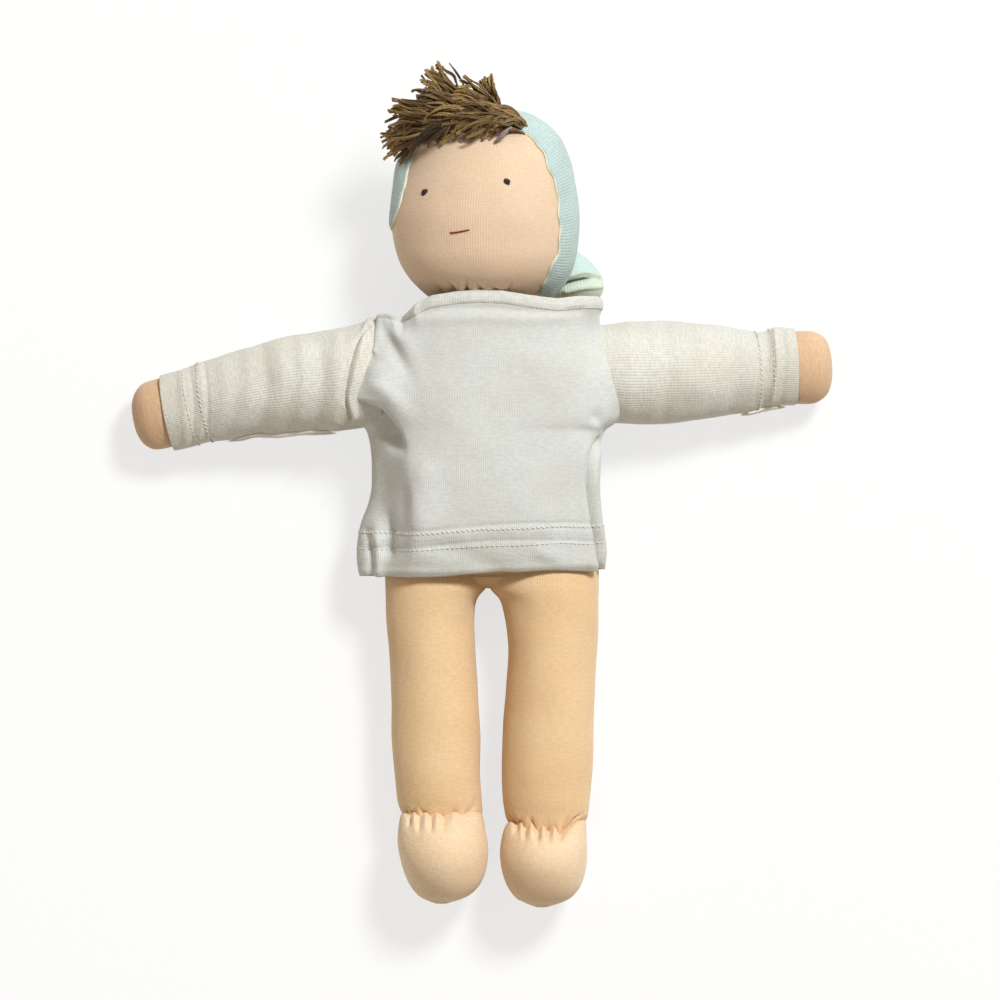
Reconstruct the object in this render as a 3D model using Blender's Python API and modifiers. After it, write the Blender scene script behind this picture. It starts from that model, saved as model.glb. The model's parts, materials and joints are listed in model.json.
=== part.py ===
"""A soft cloth doll in a knitted shirt and a cap, lying on its back.

Units are metres. +Z faces up from the table that the doll lies on, +Y runs
from the feet to the head, and +X runs towards the doll's own left hand. The
origin is on the table, under the middle of the back.
"""
import math

import bmesh
import bpy
from mathutils import Matrix, Vector

MM = 0.001

# Fits that every pair of layers shares
SEAT_GAP = 0.35 * MM
JOINT_GAP = 0.5 * MM
FLAT_DEPTH = 0.5 * MM
CUT_OVERRUN = 30.0 * MM
MERGE_DISTANCE = 0.01 * MM
BALL_STEPS = 24
OPENING_STEPS = 32

# Cloth and wool
SKIN_THICKNESS = 0.8 * MM
WOOL_EASE = 0.5 * MM
SHIRT_THICKNESS = 1.0 * MM
SHIRT_EASE = 0.7 * MM
THREAD_RADIUS = 0.45 * MM

# Head
HEAD_RADIUS = 31.5 * MM
HEAD_SINK = 0.9 * MM
NECK_HOLE_RADIUS = 13.5 * MM
NECK_TUCK_LENGTH = 2.2 * MM
HEAD_STEPS = 24
HEAD_ROWS = 11
HEAD_CORE_STEPS = 14
HEAD_CORE_ROWS = 6
FACE_TURN = math.radians(14.0)

# Neck: a short column of wool, tied with thread
NECK_RADIUS = 10.0 * MM
NECK_RISE = 4.6 * MM
NECK_LIFT = 31.0 * MM
NECK_DEPTH = 22.0 * MM
NECK_STEPS = 12
TIE_DROP = 3.6 * MM

# Cap
CAP_THICKNESS = 1.0 * MM
CAP_EASE = 0.5 * MM
CAP_SIDE_COVER = 3.6 * MM
CAP_BROW_COVER = 9.0 * MM
CAP_CHIN_COVER = 3.0 * MM
CAP_OPENING_FLOOR = 2.0 * MM
CAP_NECK_RADIUS = 19.0 * MM
CAP_BINDING_RADIUS = 0.7 * MM
BINDING_STEPS = 24
CAP_EDGE_LOW_ANGLE = math.radians(52.0)
CAP_TAIL_LENGTH = 28.0 * MM
CAP_TAIL_WIDTH = 21.0 * MM
CAP_TAIL_DEPTH = 20.0 * MM

# Eyes and mouth, in the picture plane of the face
EYE_WIDTH = 2.2 * MM
EYE_HEIGHT = 2.6 * MM
EYE_THICKNESS = 0.7 * MM
RIGHT_EYE_PLACE_SHARES = (-0.72, 0.146)
LEFT_EYE_PLACE_SHARES = (0.216, 0.251)
MOUTH_PLACE_SHARES = ((-0.420, -0.331), (-0.314, -0.318), (-0.206, -0.286))
MOUTH_RADIUS = 0.5 * MM

# Trunk and shirt
SHIRT_HALF_WIDTH = 42.0 * MM
SHIRT_DEPTH = 52.0 * MM
SHIRT_LENGTH = 99.4 * MM
SHIRT_HEM_DROP = 46.0 * MM
SIDE_SEAM_HEIGHT = 24.0 * MM
SECTION_POWER = 2.5
NECK_BAND_WIDTH = 3.4 * MM
NECK_BAND_THICKNESS = 1.3 * MM
TRUNK_TOP_DROP = 4.4 * MM
TRUNK_SEAT_DROP = 5.0 * MM

# Arms and sleeves
SHOULDER_LIFT = 20.5 * MM
RIGHT_SHOULDER_OUT = 53.6 * MM
RIGHT_SHOULDER_UP = 26.3 * MM
RIGHT_ARM_DROOP = math.radians(10.6)
LEFT_SHOULDER_OUT = 49.7 * MM
LEFT_SHOULDER_UP = 28.4 * MM
LEFT_ARM_DROOP = math.radians(-1.5)
ARM_DIP = math.radians(6.8)
SLEEVE_RADIUS = 18.8 * MM
SLEEVE_LENGTH = 62.5 * MM
SLEEVE_ROOT = 11.0 * MM
ARM_LENGTH = 75.5 * MM
HAND_RADIUS = 12.2 * MM

# Legs and feet
HIP_LIFT = 18.9 * MM
HIP_DROP = 50.0 * MM
RIGHT_HIP_OUT = 20.5 * MM
LEFT_HIP_OUT = 21.8 * MM
RIGHT_LEG_LEAN = math.radians(2.3)
LEFT_LEG_LEAN = math.radians(0.0)
LEG_RADIUS = 17.0 * MM
LEG_LENGTH = 84.0 * MM
LEG_ROOT = 9.5 * MM
LEG_DEPTH = 34.5 * MM
THIGH_ROOM_LIFT = 8.0 * MM
THIGH_ROOM_DROP = 4.0 * MM
ANKLE_RADIUS = 12.8 * MM
ANKLE_LIFT = 16.0 * MM
ANKLE_TUCKS = 7
ANKLE_TUCK_DEPTH = 1.6 * MM
ANKLE_THREAD_SWEEP = math.radians(140.0)
FOOT_LENGTH = 30.5 * MM
FOOT_NECK = 4.8 * MM
FOOT_HALF_WIDTH = 16.2 * MM
FOOT_DEPTH = 41.0 * MM

# Hair
HAIR_ROOT_RADIUS = 4.4 * MM
HAIR_TIP_RADIUS = 2.3 * MM
HAIR_SIDES = 6

# Rows of a loft are shares of the piece's own sizes:
# along its length, half width, lowest point and highest point of its depth
SHIRT_ROW_SHARES = (
    (0.00, 1.040, 0.000, 0.890),
    (0.14, 1.005, 0.000, 0.935),
    (0.40, 0.950, 0.000, 0.995),
    (0.66, 0.985, 0.000, 0.995),
    (0.86, 0.995, 0.010, 0.985),
    (0.96, 0.920, 0.100, 0.970),
    (1.00, 0.740, 0.230, 0.940),
)
# the trunk's half width and depth are shares of the room inside the shirt
TRUNK_ROW_SHARES = (
    (0.000, 0.400, 0.250, 0.560),
    (0.045, 0.760, 0.090, 0.780),
    (0.160, 0.955, 0.002, 0.900),
    (0.440, 0.945, 0.000, 0.985),
    (0.750, 0.970, 0.000, 0.980),
    (0.940, 0.860, 0.110, 0.940),
    (1.000, 0.480, 0.340, 0.800),
)
# along the limb from its joint, and the radius
SLEEVE_BALL_SHARES = (1.00, 0.55)
SLEEVE_ROW_SHARES = (
    (0.06, 1.000),
    (0.36, 0.955),
    (0.74, 0.830),
    (1.00, 0.720),
)
ARM_ROW_SHARES = (
    (-0.110, 0.815),
    (0.080, 0.895),
    (0.560, 0.735),
)
HAND_ROW_SHARES = (
    (0.860, 0.955),
    (0.940, 0.980),
    (0.990, 0.600),
    (1.000, 0.180),
)
# along the leg from the hip, half width, lowest and highest point
LEG_ROW_SHARES = (
    (0.00, 1.000, 0.048, 1.034),
    (0.14, 0.985, 0.012, 1.010),
    (0.48, 0.940, -0.015, 0.980),
    (0.84, 0.950, -0.015, 0.965),
    (0.955, 0.850, 0.030, 0.885),
)
HIP_BALL_SHARES = (1.0,)
ANKLE_BALL_SHARES = (0.0, 0.66, 0.955)
ANKLE_BALL_FULLNESS = 1.05
FOOT_ROW_SHARES = (
    (0.00, 0.860, 0.090, 0.760),
    (0.14, 0.960, 0.010, 0.880),
    (0.36, 1.000, -0.014, 0.985),
    (0.62, 0.950, -0.014, 1.000),
    (0.84, 0.740, 0.060, 0.900),
    (1.00, 0.340, 0.260, 0.660),
)
# along the cap's tail, half width and half depth
CAP_TAIL_ROW_SHARES = (
    (0.00, 0.70, 0.80),
    (0.22, 0.95, 1.00),
    (0.55, 1.00, 1.00),
    (0.82, 0.95, 0.90),
    (1.00, 0.70, 0.55),
)
# places on and round the head, as shares of its radius
CAP_TAIL_START_SHARES = (0.66, -0.22, -0.66)
CAP_TAIL_LEAN_SHARES = (0.58, -0.80, -0.05)
HAIR_PAD_SHARES = (
    (-0.86, 0.47, 0.42),
    (-0.60, 0.56, 0.72),
    (-0.25, 0.64, 0.86),
    (0.10, 0.70, 0.84),
    (0.38, 0.78, 0.68),
)
HAIR_LOCK_SHARES = (
    ((-0.80, 0.50, 0.50), (-1.17, 0.52, 0.55)),
    ((-0.72, 0.54, 0.60), (-1.10, 0.78, 0.62)),
    ((-0.62, 0.58, 0.70), (-1.02, 1.05, 0.72)),
    ((-0.50, 0.62, 0.76), (-0.94, 1.24, 0.66)),
    ((-0.38, 0.64, 0.82), (-0.72, 1.40, 0.74)),
    ((-0.26, 0.66, 0.84), (-0.56, 1.56, 0.66)),
    ((-0.12, 0.68, 0.84), (-0.30, 1.42, 0.72)),
    ((0.02, 0.70, 0.82), (0.02, 1.44, 0.64)),
    ((0.16, 0.74, 0.78), (0.20, 1.20, 0.62)),
    ((0.30, 0.78, 0.70), (0.36, 1.06, 0.60)),
)

# Worked out from the sizes above
SHIRT_TOP = SHIRT_LENGTH - SHIRT_HEM_DROP
TRUNK_DROP = SHIRT_HEM_DROP + TRUNK_SEAT_DROP
TRUNK_LENGTH = SHIRT_TOP - TRUNK_TOP_DROP + TRUNK_DROP
NECK_HEIGHT = SHIRT_TOP + NECK_RISE
HEAD_HEIGHT = NECK_HEIGHT + HEAD_RADIUS - HEAD_SINK
CAP_RADIUS = HEAD_RADIUS + CAP_EASE + CAP_THICKNESS
CAP_OPENING_WIDTH = (CAP_RADIUS - CAP_SIDE_COVER) * 2.0
CAP_OPENING_HEIGHT = CAP_RADIUS * 2.0 - CAP_BROW_COVER - CAP_CHIN_COVER
CAP_OPENING_DROP = (CAP_BROW_COVER - CAP_CHIN_COVER) / 2.0
HEAD_CENTRE = Vector((0.0, HEAD_HEIGHT, CAP_RADIUS - FLAT_DEPTH))
NECK_PIVOT = Vector((0.0, NECK_HEIGHT, NECK_LIFT))
SHIRT_INSET = SHIRT_THICKNESS + SHIRT_EASE
SKIN_INSET = SKIN_THICKNESS + WOOL_EASE
HIP_PIVOTS = {
    "right": Vector((-RIGHT_HIP_OUT, -HIP_DROP, HIP_LIFT)),
    "left": Vector((LEFT_HIP_OUT, -HIP_DROP, HIP_LIFT)),
}
LEG_LEANS = {"right": RIGHT_LEG_LEAN, "left": LEFT_LEG_LEAN}
SHOULDER_PIVOTS = {
    "right": Vector((-RIGHT_SHOULDER_OUT, RIGHT_SHOULDER_UP, SHOULDER_LIFT)),
    "left": Vector((LEFT_SHOULDER_OUT, LEFT_SHOULDER_UP, SHOULDER_LIFT)),
}
ARM_HEADINGS = {"right": math.pi + RIGHT_ARM_DROOP, "left": -LEFT_ARM_DROOP}

# Colours, as linear red, green and blue, and roughness
FACE_SKIN = ("skin jersey, face", (0.83, 0.62, 0.43), 0.85)
HAND_SKIN = ("skin jersey, arms", (0.76, 0.46, 0.25), 0.85)
LEG_SKIN = ("skin jersey, legs", (0.80, 0.57, 0.33), 0.85)
FOOT_SKIN = ("skin jersey, feet", (0.81, 0.59, 0.37), 0.85)
WOOL = ("carded wool", (0.86, 0.82, 0.72), 0.95)
SHIRT_KNIT = ("shirt jersey", (0.76, 0.76, 0.72), 0.85)
SHIRT_RIB = ("shirt neck band", (0.70, 0.71, 0.68), 0.85)
CAP_KNIT = ("cap jersey", (0.58, 0.80, 0.75), 0.85)
CAP_TRIM = ("cap edge", (0.72, 0.84, 0.60), 0.85)
HAIR_YARN = ("brown wool yarn", (0.17, 0.10, 0.05), 0.90)
EYE_THREAD = ("dark brown thread", (0.05, 0.02, 0.015), 0.60)
MOUTH_THREAD = ("dark red thread", (0.35, 0.03, 0.03), 0.60)
SEWING_THREAD = ("pale sewing thread", (0.80, 0.66, 0.50), 0.70)


def clear_scene():
    """Remove whatever the file held."""
    for item in list(bpy.data.objects):
        bpy.data.objects.remove(item, do_unlink=True)


def make_collection(name):
    group = bpy.data.collections.new(name)
    bpy.context.scene.collection.children.link(group)
    return group


def add_object(name, data, group, finish=None, parent=None):
    """Link new data as an object, with its finish and its parent."""
    item = bpy.data.objects.new(name, data)
    group.objects.link(item)
    item.parent = parent
    if finish:
        title, colour, roughness = finish
        material = bpy.data.materials.new(f"{title} ({name})")
        material.use_nodes = True
        shader = material.node_tree.nodes["Principled BSDF"]
        shader.inputs["Base Color"].default_value = (*colour, 1.0)
        shader.inputs["Roughness"].default_value = roughness
        shader.inputs["Metallic"].default_value = 0.0
        data.materials.append(material)
    return item


def add_axis(name, place, group, parent=None, turn=(0.0, 0.0, 0.0)):
    """An empty on a joint's axis, which carries what moves there."""
    axis = bpy.data.objects.new(name, None)
    group.objects.link(axis)
    axis.empty_display_size = NECK_RADIUS
    axis.parent = parent
    axis.location = place
    axis.rotation_euler = turn
    return axis


def mesh_from(builder):
    """A mesh from a bmesh, which is freed."""
    mesh = bpy.data.meshes.new("form")
    builder.to_mesh(mesh)
    builder.free()
    return mesh


def smooth(item):
    item.data.shade_smooth()


def ring_growth(sides, levels):
    """How much wider a cage ring is than the ring it subdivides into."""
    growth = 1.0
    for _ in range(levels):
        growth /= 0.75 + 0.25 * math.cos(math.tau / sides)
        sides *= 2
    return growth


def section_point(angle, power):
    """A point of a unit section, round at power 2 and squarer above it."""
    across = math.copysign(abs(math.cos(angle)) ** (2.0 / power), math.cos(angle))
    up = math.copysign(abs(math.sin(angle)) ** (2.0 / power), math.sin(angle))
    return across, up


def loft_cage(rings, sides, levels, power=2.0, closed=(False, False)):
    """A tube cage through rings of (centre, across, up), open or closed.

    The across and up vectors are half the ring's width and depth. Rings run
    towards across x up, so that the faces point out.
    """
    growth = ring_growth(sides, levels)
    builder = bmesh.new()
    loops = []
    for centre, across, up in rings:
        loop = []
        for step in range(sides):
            side, rise = section_point(math.tau * step / sides, power)
            loop.append(builder.verts.new(centre + (across * side + up * rise) * growth))
        loops.append(loop)
    for first, second in zip(loops, loops[1:]):
        for step in range(sides):
            after = (step + 1) % sides
            builder.faces.new((first[step], first[after], second[after], second[step]))
    if closed[0]:
        builder.faces.new(list(reversed(loops[0])))
    if closed[1]:
        builder.faces.new(loops[-1])
    return mesh_from(builder)


def subdivide(item, levels):
    rounding = item.modifiers.new("rounding", "SUBSURF")
    rounding.levels = levels
    rounding.render_levels = levels
    return rounding


def thicken(item, thickness):
    """Turn an outer skin into a shell that grows inwards."""
    wall = item.modifiers.new("wall", "SOLIDIFY")
    wall.thickness = thickness
    wall.offset = -1.0
    wall.use_even_offset = True
    return wall


def boolean(item, other, operation):
    cut = item.modifiers.new(f"{operation.lower()} {other.name}", "BOOLEAN")
    cut.operation = operation
    cut.solver = "EXACT"
    cut.object = other
    return cut


def hide_cutter(item):
    item.hide_render = True
    item.display_type = "WIRE"
    return item


def ball_cutter(name, place, radius, group):
    """A ball whose flat faces touch the round ball of that radius from outside."""
    radius /= math.cos(math.pi / BALL_STEPS) ** 2
    builder = bmesh.new()
    bmesh.ops.create_uvsphere(
        builder, u_segments=BALL_STEPS, v_segments=BALL_STEPS // 2, radius=radius)
    item = add_object(name, mesh_from(builder), group)
    item.location = place
    return hide_cutter(item)


def box_cutter(name, low, high, group):
    """A box between two corners."""
    builder = bmesh.new()
    bmesh.ops.create_cube(builder, size=1.0)
    size = high - low
    bmesh.ops.scale(builder, vec=size, verts=builder.verts)
    item = add_object(name, mesh_from(builder), group)
    item.location = (low + high) / 2.0
    return hide_cutter(item)


def rod_cutter(name, place, radius, length, group, turn, width=None):
    """A round or oval rod along its local Z."""
    builder = bmesh.new()
    bmesh.ops.create_cone(
        builder, cap_ends=True, segments=OPENING_STEPS,
        radius1=radius, radius2=radius, depth=length)
    if width:
        bmesh.ops.scale(builder, vec=(width / radius, 1.0, 1.0), verts=builder.verts)
    item = add_object(name, mesh_from(builder), group)
    item.location = place
    item.rotation_euler = turn
    return hide_cutter(item)


def turned_form(name, profile, steps, group, finish=None, parent=None):
    """A shape turned round +Y from a profile of (radius, height), top first."""
    mesh = bpy.data.meshes.new("profile")
    points = [(radius, 0.0, height) for radius, height in profile]
    edges = [(index, index + 1) for index in range(len(points) - 1)]
    mesh.from_pydata(points, edges, [])
    item = add_object(name, mesh, group, finish, parent)
    item.rotation_euler = (-math.pi / 2.0, 0.0, 0.0)
    turn = item.modifiers.new("turn", "SCREW")
    turn.steps = steps
    turn.render_steps = steps
    turn.use_merge_vertices = True
    turn.merge_threshold = MERGE_DISTANCE
    turn.use_smooth_shade = True
    weld = item.modifiers.new("weld", "WELD")
    weld.merge_threshold = MERGE_DISTANCE
    return item


def ball_profile(radius, hole_radius, rows):
    """Half a round outline, from its top down to a hole underneath."""
    lowest = -math.acos(hole_radius / radius)
    points = []
    for row in range(rows + 1):
        tilt = math.pi / 2.0 + (lowest - math.pi / 2.0) * row / rows
        points.append((max(radius * math.cos(tilt), 0.0), radius * math.sin(tilt)))
    points[0] = (0.0, radius)
    return points


def tube(name, points, radius, group, finish=None, parent=None, fineness=1):
    """A round tube through points, with closed ends."""
    curve = bpy.data.curves.new(name, "CURVE")
    curve.dimensions = "3D"
    curve.bevel_depth = radius
    curve.bevel_resolution = fineness
    curve.use_fill_caps = True
    spline = curve.splines.new("POLY")
    spline.points.add(len(points) - 1)
    for knot, point in zip(spline.points, points):
        knot.co = (*point, 1.0)
    return add_object(name, curve, group, finish, parent)


def mesh_copy_of_tube(item, group):
    """The welded mesh of a tube, which takes the tube's place."""
    bpy.context.view_layer.update()
    graph = bpy.context.evaluated_depsgraph_get()
    mesh = bpy.data.meshes.new_from_object(item.evaluated_get(graph))
    builder = bmesh.new()
    builder.from_mesh(mesh)
    bmesh.ops.remove_doubles(builder, verts=builder.verts, dist=MERGE_DISTANCE)
    builder.to_mesh(mesh)
    builder.free()
    solid = bpy.data.objects.new(item.name + " solid", mesh)
    group.objects.link(solid)
    solid.matrix_world = item.matrix_world
    bpy.data.objects.remove(item, do_unlink=True)
    return solid


def head_point(share, radius=HEAD_RADIUS):
    """A place given as shares of the head's radius, from its centre."""
    return Vector(share) * radius


def face_point(place_share, height):
    """A point over the face, at a height above the skin, in head axes."""
    across, up = place_share
    out = math.sqrt(1.0 - across * across - up * up)
    return Vector((across, up, out)) * (HEAD_RADIUS + height)


# Trunk and shirt


def trunk_rings(row_shares, length, drop, half_width, depth, rise, inset=0.0):
    """Rings from the hem up to the neck, each drawn in by the inset."""
    rings = []
    for along, wide, low, high in row_shares:
        bottom = rise + depth * low + inset
        top = rise + depth * high - inset
        centre = Vector((0.0, length * along - drop, (bottom + top) / 2.0))
        across = Vector((half_width * wide - inset, 0.0, 0.0))
        up = Vector((0.0, 0.0, (top - bottom) / 2.0))
        rings.append((centre, across, up))
    rings.reverse()
    return rings


def every_other(rings):
    """Both end rings and every second one between, for a hidden core."""
    return rings[:1] + rings[1:-1][::2] + rings[-1:]


def draw_in_ends(rings, inset):
    """Shorten a core at both ends by the inset, with its rings kept in order."""
    middle = (rings[0][0] + rings[-1][0]) / 2.0
    length = (rings[-1][0] - rings[0][0]).length
    shrink = (length - inset * 2.0) / length
    return [(middle + (centre - middle) * shrink, across, up) for centre, across, up in rings]


def make_shirt(parts, cutters, balls):
    """Front and back panels, which meet at the side seams, and a neck band.

    The balls at the shoulders cut the armholes, and those at the hips leave
    the legs room under the hem.
    """
    rings = trunk_rings(
        SHIRT_ROW_SHARES, SHIRT_LENGTH, SHIRT_HEM_DROP,
        SHIRT_HALF_WIDTH, SHIRT_DEPTH, -FLAT_DEPTH)
    reach = SHIRT_LENGTH + CUT_OVERRUN
    seam_low = SIDE_SEAM_HEIGHT - SEAT_GAP / 2.0
    seam_high = SIDE_SEAM_HEIGHT + SEAT_GAP / 2.0
    halves = {
        "shirt_front": box_cutter(
            "front half", Vector((-reach, -reach, seam_high)), Vector((reach, reach, reach)),
            cutters),
        "shirt_back": box_cutter(
            "back half", Vector((-reach, -reach, 0.0)), Vector((reach, reach, seam_low)),
            cutters),
    }
    for name, half in halves.items():
        mesh = loft_cage(rings, sides=12, levels=1, power=SECTION_POWER)
        panel = add_object(name, mesh, parts, SHIRT_KNIT)
        smooth(panel)
        subdivide(panel, 1)
        thicken(panel, SHIRT_THICKNESS)
        boolean(panel, half, "INTERSECT")
        for ball in balls:
            boolean(panel, ball, "DIFFERENCE")
    make_neck_band(rings[0], parts)


def make_neck_band(neck_ring, parts):
    """A doubled strip round the neck opening, just above the panels."""
    centre, across, up = neck_ring
    lift = Vector((0.0, SEAT_GAP, 0.0))
    width = Vector((0.0, NECK_BAND_WIDTH, 0.0))
    rings = [
        (centre + lift + width, across, up),
        (centre + lift, across, up),
    ]
    mesh = loft_cage(rings, sides=12, levels=1, power=SECTION_POWER)
    band = add_object("shirt_neck_band", mesh, parts, SHIRT_RIB)
    smooth(band)
    subdivide(band, 1)
    thicken(band, NECK_BAND_THICKNESS)


def make_trunk(parts, balls, neck_bore):
    """The stuffed trunk: a skin, open at the neck, over a wool core."""
    half_width = SHIRT_HALF_WIDTH - SHIRT_INSET
    depth = SHIRT_DEPTH - SHIRT_INSET * 2.0
    rise = SHIRT_INSET - FLAT_DEPTH
    rings = trunk_rings(
        TRUNK_ROW_SHARES, TRUNK_LENGTH, TRUNK_DROP, half_width, depth, rise)
    mesh = loft_cage(rings, sides=8, levels=1, power=SECTION_POWER, closed=(True, True))
    skin = add_object("trunk_skin", mesh, parts, LEG_SKIN)
    core_rings = trunk_rings(
        TRUNK_ROW_SHARES, TRUNK_LENGTH, TRUNK_DROP, half_width, depth, rise, SKIN_INSET)
    core_rings = draw_in_ends(core_rings, SKIN_INSET)
    mesh = loft_cage(
        every_other(core_rings), sides=8, levels=1, power=SECTION_POWER, closed=(True, True))
    core = add_object("trunk_stuffing", mesh, parts, WOOL)
    for item in (skin, core):
        smooth(item)
        subdivide(item, 1)
    thicken(skin, SKIN_THICKNESS)
    for item in (skin, core):
        for ball in balls:
            boolean(item, ball, "DIFFERENCE")
        boolean(item, neck_bore, "DIFFERENCE")


# Head, neck and cap


def make_neck(parts, axis):
    """A column of wool with a round top, and the thread tied round it."""
    profile = []
    rows = NECK_STEPS // 4
    for row in range(rows + 1):
        tilt = math.pi / 2.0 * (1.0 - row / rows)
        profile.append((NECK_RADIUS * math.cos(tilt), NECK_RADIUS * math.sin(tilt)))
    profile[0] = (0.0, NECK_RADIUS)
    profile.append((NECK_RADIUS, -NECK_DEPTH))
    profile.append((0.0, -NECK_DEPTH))
    turned_form("neck_stuffing", profile, NECK_STEPS, parts, WOOL, axis)
    ring = []
    ring_radius = NECK_RADIUS + SEAT_GAP + THREAD_RADIUS
    for step in range(NECK_STEPS + 1):
        angle = math.tau * step / NECK_STEPS
        ring.append(Vector((ring_radius * math.cos(angle), 0.0, ring_radius * math.sin(angle))))
    tie = tube("neck_tie", ring[:-1], THREAD_RADIUS, parts, SEWING_THREAD, axis)
    tie.data.splines[0].use_cyclic_u = True
    tie.location = (0.0, -TIE_DROP, 0.0)


def make_head(parts, axis, socket, centre):
    """The head's skin, open at the neck, over a firm ball of wool."""
    profile = ball_profile(HEAD_RADIUS, NECK_HOLE_RADIUS, HEAD_ROWS)
    profile.append((NECK_HOLE_RADIUS - SEAT_GAP, profile[-1][1] - NECK_TUCK_LENGTH))
    skin = turned_form("head_skin", profile, HEAD_STEPS, parts, FACE_SKIN, axis)
    skin.location = centre
    thicken(skin, SKIN_THICKNESS)
    core_radius = HEAD_RADIUS - SKIN_INSET
    core_hole = NECK_HOLE_RADIUS - SKIN_INSET
    profile = ball_profile(core_radius, core_hole, HEAD_CORE_ROWS)
    profile.append((0.0, profile[-1][1]))
    core = turned_form("head_stuffing", profile, HEAD_CORE_STEPS, parts, WOOL, axis)
    core.location = centre
    boolean(core, socket, "DIFFERENCE")


def make_face(parts, axis, centre):
    """Two stitched eyes and a stitched mouth, on the skin."""
    for name, place in (("right_eye", RIGHT_EYE_PLACE_SHARES), ("left_eye", LEFT_EYE_PLACE_SHARES)):
        builder = bmesh.new()
        bmesh.ops.create_uvsphere(builder, u_segments=8, v_segments=6, radius=1.0)
        size = Vector((EYE_WIDTH, EYE_HEIGHT, EYE_THICKNESS)) / 2.0
        bmesh.ops.scale(builder, vec=size, verts=builder.verts)
        point = face_point(place, SEAT_GAP + EYE_THICKNESS / 2.0)
        turn = Vector((0.0, 0.0, 1.0)).rotation_difference(point)
        bmesh.ops.rotate(builder, matrix=turn.to_matrix(), verts=builder.verts)
        eye = add_object(name, mesh_from(builder), parts, EYE_THREAD, axis)
        eye.location = centre + point
        smooth(eye)
    points = []
    start, middle, end = [Vector(share) for share in MOUTH_PLACE_SHARES]
    for step in range(7):
        run = step / 6.0
        share = start * (1.0 - run) ** 2 + middle * 2.0 * run * (1.0 - run) + end * run ** 2
        points.append(face_point(share, SEAT_GAP + MOUTH_RADIUS))
    mouth = tube("mouth", points, MOUTH_RADIUS, parts, MOUTH_THREAD, axis)
    mouth.location = centre


def opening_point(angle, radius):
    """A point of the cap's face opening, on a ball of the given radius."""
    across = CAP_OPENING_WIDTH / 2.0 * math.cos(angle)
    up = CAP_OPENING_HEIGHT / 2.0 * math.sin(angle) - CAP_OPENING_DROP
    out = math.sqrt(radius * radius - across * across - up * up)
    turned = Matrix.Rotation(-FACE_TURN, 3, "Y") @ Vector((across, up, out))
    return turned


def binding_path(radius):
    """The opening's edge, from one side of the neck over to the other."""
    sweep = math.pi + 2.0 * CAP_EDGE_LOW_ANGLE
    angles = [
        sweep * step / BINDING_STEPS - CAP_EDGE_LOW_ANGLE for step in range(BINDING_STEPS + 1)]
    return [opening_point(angle, radius) for angle in angles]


def make_cap(parts, cutters, axis, centre, world_centre, floor):
    """The cap's crown, the rolled edge round the face, and its tail."""
    crown = turned_form(
        "cap_crown", ball_profile(CAP_RADIUS, CAP_NECK_RADIUS, HEAD_ROWS),
        HEAD_STEPS, parts, CAP_KNIT, axis)
    crown.location = centre
    thicken(crown, CAP_THICKNESS)
    length = CAP_RADIUS + CUT_OVERRUN
    turn = Matrix.Rotation(-FACE_TURN, 3, "Y")
    middle = Vector((0.0, -CAP_OPENING_DROP, CAP_OPENING_FLOOR + length / 2.0))
    opening = rod_cutter(
        "face opening", world_centre + turn @ middle, CAP_OPENING_HEIGHT / 2.0, length,
        cutters, (0.0, -FACE_TURN, 0.0), CAP_OPENING_WIDTH / 2.0)
    boolean(crown, opening, "DIFFERENCE")
    boolean(crown, floor, "DIFFERENCE")
    path = binding_path(CAP_RADIUS + SEAT_GAP + CAP_BINDING_RADIUS)
    edge = tube("cap_edge", path, CAP_BINDING_RADIUS, parts, CAP_TRIM, axis)
    edge.location = centre
    ball = ball_cutter("cap ball", world_centre, CAP_RADIUS + SEAT_GAP, cutters)
    make_cap_tail(parts, axis, centre, ball, floor)


def make_cap_tail(parts, axis, centre, ball, floor):
    """The soft tail of the cap, which lies beside the nape."""
    start = head_point(CAP_TAIL_START_SHARES)
    lean = Vector(CAP_TAIL_LEAN_SHARES).normalized()
    up = Vector((0.0, 0.0, 1.0))
    across = up.cross(lean).normalized()
    up = lean.cross(across)
    rings = []
    for along, wide, deep in CAP_TAIL_ROW_SHARES:
        middle = start + lean * CAP_TAIL_LENGTH * along
        rings.append((
            middle, across * CAP_TAIL_WIDTH / 2.0 * wide, up * CAP_TAIL_DEPTH / 2.0 * deep))
    mesh = loft_cage(rings, sides=8, levels=1, closed=(True, True))
    tail = add_object("cap_tail", mesh, parts, CAP_KNIT, axis)
    tail.location = centre
    smooth(tail)
    subdivide(tail, 1)
    boolean(tail, ball, "DIFFERENCE")
    boolean(tail, floor, "DIFFERENCE")


def add_lock(builder, root, tip):
    """One tapered lock of yarn between two points."""
    way = tip - root
    turn = Vector((0.0, 0.0, 1.0)).rotation_difference(way).to_matrix().to_4x4()
    matrix = Matrix.Translation((root + tip) / 2.0) @ turn
    bmesh.ops.create_cone(
        builder, cap_ends=True, segments=HAIR_SIDES, radius1=HAIR_ROOT_RADIUS,
        radius2=HAIR_TIP_RADIUS, depth=way.length, matrix=matrix)


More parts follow.
